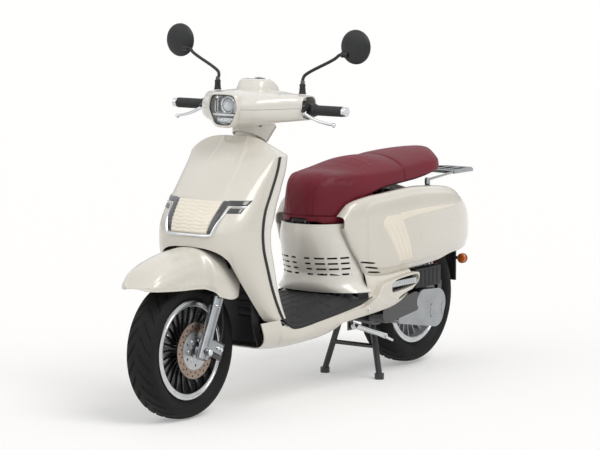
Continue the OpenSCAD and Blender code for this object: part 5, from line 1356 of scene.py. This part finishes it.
def tail():
    softened("rear_rack", 2.0)
    softened("helmet_bucket", 1.2)
    softened("rear_mudguard", 0.8)
    back = REAR_Y + 214
    lamp = [(*rounded((-58, back, 500), (58, back + 24, 566), 5), PLASTIC),
            (*rounded((-53, back + 16, 505), (53, back + 48, 561), 12), RED_LENS),
            (*rounded((-20, back, 562), (20, back + 26, 578), 3), PLASTIC)]
    build("tail_lamp_unit", lamp, "chassis", ["tail_lamp"])
    flap = REAR_Y + 250
    stalks = []
    for s in (-1, 1):
        stalks.append((*spin([(0.3, 50), (7.5, 50), (6, 53), (6, 66), (0.3, 66)], (0, flap + 4, 364),
                             (s, 0, 0), 24, False), RUBBER))
        lens = [(0.3, 20), (8, 19.4), (14, 17), (17.4, 13), (18.4, 9), (18.4, 4)]
        stalks.append((*spin(lens + [(0.3, 4)], (s * 82, flap, 364), (0, 1, 0), 40, False), AMBER))
        stalks.append((*spin([(0.3, 10), (8, 9.6), (14, 8.2), (17.4, 6), (18.6, 3), (18.6, -1),
                              (0.3, -1)], (s * 82, flap, 364), (0, -1, 0), 40, False), AMBER))
        stalks.append((*spin([(18, 0.6), (19, 0.6), (19, 5), (18, 5)], (s * 82, flap, 364), (0, 1, 0),
                             40), PLASTIC))
    build("rear_turn_lamps", stalks, "chassis", ["rear_signals"])
    places, ways = [], []
    for s in (-1, 1):
        places += [(s * 148, REAR_Y - 85, 694), (s * 40, REAR_Y + 262, 533),
                   (s * 213.6, REAR_Y - 545, 282)]
        ways += [(0, 0, 1), (0, 1, 0), (s, 0, 0)]
    repeated("panel_screws", screw_head(5.6, 3.4), places, facing(ways), CHROME, "chassis",
             ["body_screws"])
    softened("main_frame", 1.2)


seat_box()
cowls()
side_filler()
seat()
tail()

# Wheels, fork, brake, engine, shock and stands
FRONT_AT, REAR_AT = np.array([0.0, FRONT_Y, FRONT_Z]), np.array([0.0, REAR_Y, REAR_Z])
RIM_R, RIM_W, FLANGE = 152.5, 76.0, 12.0


def tyre(name, node, centre, d, w):
    """Tyre with V-shaped grooves across its tread."""
    r = d / 2
    c = (r + RIM_R + 14) / 2
    q = np.radians(np.linspace(-126, 126, 71))
    radius, place = c + (r - c) * spow(np.cos(q), 0.8), w / 2 * spow(np.sin(q), 0.8)
    bead = [(RIM_R, RIM_W / 2 - 10), (RIM_R, RIM_W / 2), (RIM_R + FLANGE + 2, RIM_W / 2)]
    radius = np.concatenate([[p[0] for p in bead], radius, [p[0] for p in bead[::-1]]])
    place = np.concatenate([[-p[1] for p in bead], place, [p[1] for p in bead[::-1]]])
    turn = np.linspace(0, 2 * math.pi, 540, endpoint=False)[:, None]
    lanes = 27 * turn / (2 * math.pi)
    away = np.abs(place)[None, :]
    phase = np.abs((lanes - away / 34 + 0.5 * (place[None, :] > 0)) % 1 - 0.5)
    reach = ease(4, 9, away) * (1 - ease(0.78 * w / 2, 0.86 * w / 2, away)) * (radius[None, :] > c)
    groove = (1 - ease(0.09, 0.15, phase)) * reach
    rib = 1 - ease(1.2, 2.6, np.abs(away - 3.0))
    depth = 4.2 * groove + 3.0 * rib * (radius[None, :] > r - 12)
    # Ring lines on the sidewall
    ring_off = np.abs(np.abs(radius[None, :] - RIM_R - 30) - 3)
    depth = depth + 0.7 * (1 - ease(0.6, 1.6, ring_off)) * (away > 0.8 * w / 2)
    out = radius[None, :] - depth
    grid = stack(place[None, :], out * np.cos(turn), out * np.sin(turn)) + centre
    build(name, [(*loft(np.concatenate([grid, grid[:1]]), False), TYRE)], BODY_OF[node],
          [node], angle=32)


def wheel(name, node, centre, hub_r, hub_half, bore, paint, cap_x, extra=()):
    """Cast wheel: barrel, two machined lips, hub and fins."""
    body, slot = BODY_OF[node], SLOT_OF[node]
    half = RIM_W / 2
    barrel = [(RIM_R - 8, -half - 4), (RIM_R + FLANGE - 2, -half - 4), (RIM_R + FLANGE, -half - 2),
              (RIM_R + FLANGE, -half), (RIM_R, -half), (RIM_R, half),
              (RIM_R + FLANGE, half), (RIM_R + FLANGE, half + 2), (RIM_R + FLANGE - 2, half + 4),
              (RIM_R - 8, half + 4)]
    parts = [(*spin(barrel, centre, steps=144), paint)]
    for s in (-1, 1):
        lip = [(RIM_R + FLANGE - 0.5, half + 3), (RIM_R + FLANGE - 0.5, half + 5),
               (RIM_R + FLANGE - 2.5, half + 6), (RIM_R + 3, half + 6), (RIM_R + 2, half + 4.8),
               (RIM_R + 0.5, half + 4.8), (RIM_R - 0.5, half + 6), (RIM_R - 6, half + 6),
               (RIM_R - 8, half + 5), (RIM_R - 8, half + 3)]
        parts.append((*spin([(r, s * h) for r, h in lip], centre, steps=144), LIP))
    low, high = -hub_half, min(hub_half, cap_x)
    hub = [(bore, low), (hub_r - 14, low), (hub_r - 10, low + 3), (hub_r - 8, low + 16),
           (hub_r, low + 26), (hub_r, high - 10), (hub_r - 3, high), (bore, high)]
    parts.append((*spin(hub, centre, steps=96), paint))
    build(name, [*parts, *extra], body, [node])
    rows = []
    for t in np.linspace(0, 1, 13):
        r = lerp(hub_r - 4, RIM_R - 5, t)
        thick = lerp(4.2, 3.4, math.sin(math.pi * t))
        deep = lerp(15.5, 13.5, math.sin(math.pi * t))
        bend = 5 * math.sin(math.pi * t)
        a = np.linspace(0, 2 * math.pi, 16, endpoint=False)
        rows.append(stack(deep * spow(np.cos(a), 0.5), bend + thick * spow(np.sin(a), 0.6),
                          np.full(16, r)))
    spots = np.tile(centre, (24, 1))
    turns = [(k * 2 * math.pi / 24, 0, 0) for k in range(24)]
    repeated(name + "_fins", loft(rows), spots, turns, paint, body)


def brake_disc():
    ring = (*spin([(60, 58), (92, 58), (93, 58.6), (93, 61.4), (92, 62), (60, 62)], FRONT_AT, steps=144),
            DISC)
    holes = []
    for row in range(2):
        for k in range(18):
            a = math.radians(20 * k + 10 * row)
            r = 83 - 11 * row
            holes.append(spin([(0.1, 50), (3, 50), (3, 70), (0.1, 70)],
                              FRONT_AT + [0, r * math.cos(a), r * math.sin(a)], (1, 0, 0), 16, False))
    for k in range(6):
        a = math.radians(60 * k + 30)
        holes.append(spin([(0.1, 50), (4.2, 50), (4.2, 70), (0.1, 70)],
                          FRONT_AT + [0, 48 * math.cos(a), 48 * math.sin(a)], (1, 0, 0), 20, False))
    ring = cut(ring, (*joined(holes[:36]), DISC))
    carrier = cut((*spin([(13.6, 58), (63, 58), (63, 62), (58, 62.6), (34, 62.6), (31, 64), (13.6, 64)],
                         FRONT_AT, steps=96), CARRIER), (*joined(holes[36:]), CARRIER))
    build("brake_disc_ring", [ring, carrier], BODY_OF["brake_disc"],
          ["brake_disc"])
    a = np.radians(np.arange(0, 360, 60))
    places = FRONT_AT + np.stack([np.full(6, 62.4), 36 * np.cos(a), 36 * np.sin(a)], axis=1)
    repeated("disc_bolts", screw_head(5.0, 3.0), places, facing([(1, 0, 0)] * 6), BRUSHED,
             BODY_OF["brake_disc"])


def fork_legs():
    along = unit(fork(0.0, 0.0, 1.0) - fork(0.0, 0.0, 0.0))
    caps = []
    for s in (-1, 1):
        caps.append((*spin([(15.2, 186), (21.4, 186), (21.9, 187.5), (21.9, 193), (20, 195.5),
                            (17, 196.5), (15.2, 196.5)], fork(s * 95.0, 0.0, 0.0), along, 48), RUBBER))
        caps.append((*spin([(20.4, 150), (21.3, 151.5), (21.3, 156), (20.4, 157.5)],
                           fork(s * 95.0, 0.0, 0.0), along, 48), SILVER))
    softened("fork_lowers", 1.6, caps)
    softened("fork_tubes", 0.5)
    softened("steering_yoke", 1.5)
    nuts = [(*spin([(0.4, 118), (9.5, 118), (11.4, 119.5), (11.4, 126), (9.8, 127.5), (0.4, 127.5)],
                   FRONT_AT, (s, 0, 0), 6, False), CHROME) for s in (-1, 1)]
    softened("front_axle", 0.8, nuts)
    softened("brake_caliper", 2.4,
             [(*rounded(fork(50.0, 58.0, 24.0) - [2, 4, 10], fork(78.0, 58.0, 24.0) + [2, 10, 10], 2),
               SILVER)], BLACK_ALLOY)
    places = [fork(89.0, o, 35.0) for o in (78.0, 96.0)]
    repeated("caliper_bolts", screw_head(6.0, 5.0), places, facing([(1, 0, 0)] * 2), CHROME,
             BODY_OF["brake_caliper"])


HOSE = [(70, 104, 60), (70, 104, 90), (69, 92, 130), (66, 70, 170), (62, 52, 240), (58, 46, 310),
        (56, 44, 370), (56, 44, 402)]


def brake_hose():
    path = rounded_path([fork(*map(float, p)) for p in HOSE], 3)
    obj = build("brake_hose_tube", [(*tube(path, 4.0, 14), RUBBER)], "fork_slider",
                ["brake_hose"])
    way = unit(fork(0.0, 0.0, 1.0) - fork(0.0, 0.0, 0.0))
    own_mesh(obj)


def engine():
    softened("crankcase", 1.6)
    softened("cylinder_head", 1.0)
    face = 164.0
    emboss = [(*rounded((face - 3, REAR_Y + y0, z0), (face + 1.8, REAR_Y + y1, z1), 1.4), CAST)
              for y0, z0, y1, z1 in ((-82, 236, -6, 242), (-82, 194, -6, 200), (-82, 194, -76, 242),
                                     (-12, 194, -6, 242))]
    softened("transmission_cover", 8.0, emboss)
    lines = [(*rounded((149, REAR_Y - 152 + 26 * k, 312), (151.5, REAR_Y - 140 + 26 * k, 366), 1.2),
              PLASTIC) for k in range(6)]
    softened("air_filter_box", 4.0, lines)
    start, end = np.array([-150, REAR_Y - 320, 198.0]), np.array([-160, REAR_Y + 90, 250.0])
    way, length = unit(end - start), np.linalg.norm(end - start)
    drum = [(0.4, 0), (20, 0), (36, 8), (42, 20), (44, 40), (44, length - 24), (42, length - 10),
            (34, length - 2), (26, length), (14, length), (14, length - 16), (0.4, length - 16)]
    pipe = rounded_path([(-56, REAR_Y - 452, 336), (-100, REAR_Y - 452, 336), (-114, REAR_Y - 446, 330),
                         (-130, REAR_Y - 380, 266), (-144, REAR_Y - 318, 206)], 3)
    guard = []
    for t in np.linspace(0.14, 0.72, 30):
        mid = start + way * length * t
        a = np.radians(np.linspace(100, 250, 24))
        swell = 47 + 2.5 * math.sin(math.pi * (t - 0.14) / 0.58)
        guard.append(mid + stack(swell * np.cos(a), 0 * a, swell * np.sin(a)))
    bracket = rounded((-150, REAR_Y - 150, 240), (-100.5, REAR_Y - 110, 262), 2)
    build("exhaust_pipe",
          [(*spin(drum, start, way, 72, False), ENAMEL), (*tube(pipe, 13.2, 20), CAST),
           (*panel(np.array(guard), 1.4), CHROME), (*bracket, ENAMEL)],
          BODY_OF["exhaust"], ["exhaust"])


SHOCK_HI, SHOCK_LO = np.array([90, REAR_Y - 10, 590.0]), np.array([90, REAR_Y + 45, 300.0])


def shock():
    softened("shock_body", 0.8)
    softened("shock_rod", 0.8)
    down = unit(SHOCK_LO - SHOCK_HI)
    top, low = 40.0, np.linalg.norm(SHOCK_LO - SHOCK_HI) - 46
    side, ahead = np.array([1.0, 0, 0]), np.cross(down, [1.0, 0, 0])
    turns, wire = 9, 7.0
    t = np.linspace(0, 1, turns * 36 + 1)
    a = 2 * math.pi * turns * t
    h = lerp(top + wire / 2 + 0.2, low - wire / 2 - 0.2,
             np.clip((t - 0.05) / 0.9, 0, 1) * 0.94 + 0.06 * t)
    path = SHOCK_HI + 19.5 * (np.cos(a)[:, None] * side + np.sin(a)[:, None] * ahead) + h[:, None] * down
    obj = build("shock_coil", [(*tube(path, wire / 2, 12), SPRING_RED)], "shock_lower",
                ["shock_spring"])
    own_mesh(obj)


def stands():
    softened("center_stand", 1.2)
    softened("side_stand", 1.6)
    for node, side in (("footpeg_left", 1), ("footpeg_right", -1)):
        ribs = [(*rounded((side * 212.4, REAR_Y - 372 + 15 * k, 344),
                          (side * 214.0, REAR_Y - 366 + 15 * k, 360), 0.7), BRUSHED) for k in range(8)]
        softened(node, 2.2, ribs, BRUSHED)


tyre("front_tyre_tread", "front_tyre", FRONT_AT, 459.0, 110.0)
tyre("rear_tyre_tread", "rear_tyre", REAR_AT, 472.0, 120.0)
wheel("front_wheel_casting", "front_rim", FRONT_AT, 40.0, 68.5, 7.55, BLACK_ALLOY, 58.0)
shaft = (*spin([(0.3, -106), (10, -106), (12, -104), (12, 112), (10, 114), (0.3, 114)], REAR_AT, steps=48,
               closed=False), BRUSHED)
wheel("rear_wheel_casting", "rear_rim", REAR_AT, 42.0, 62.0, 11.9, CAST, 62.0, [shaft])
brake_disc()
fork_legs()
brake_hose()
engine()
shock()
stands()
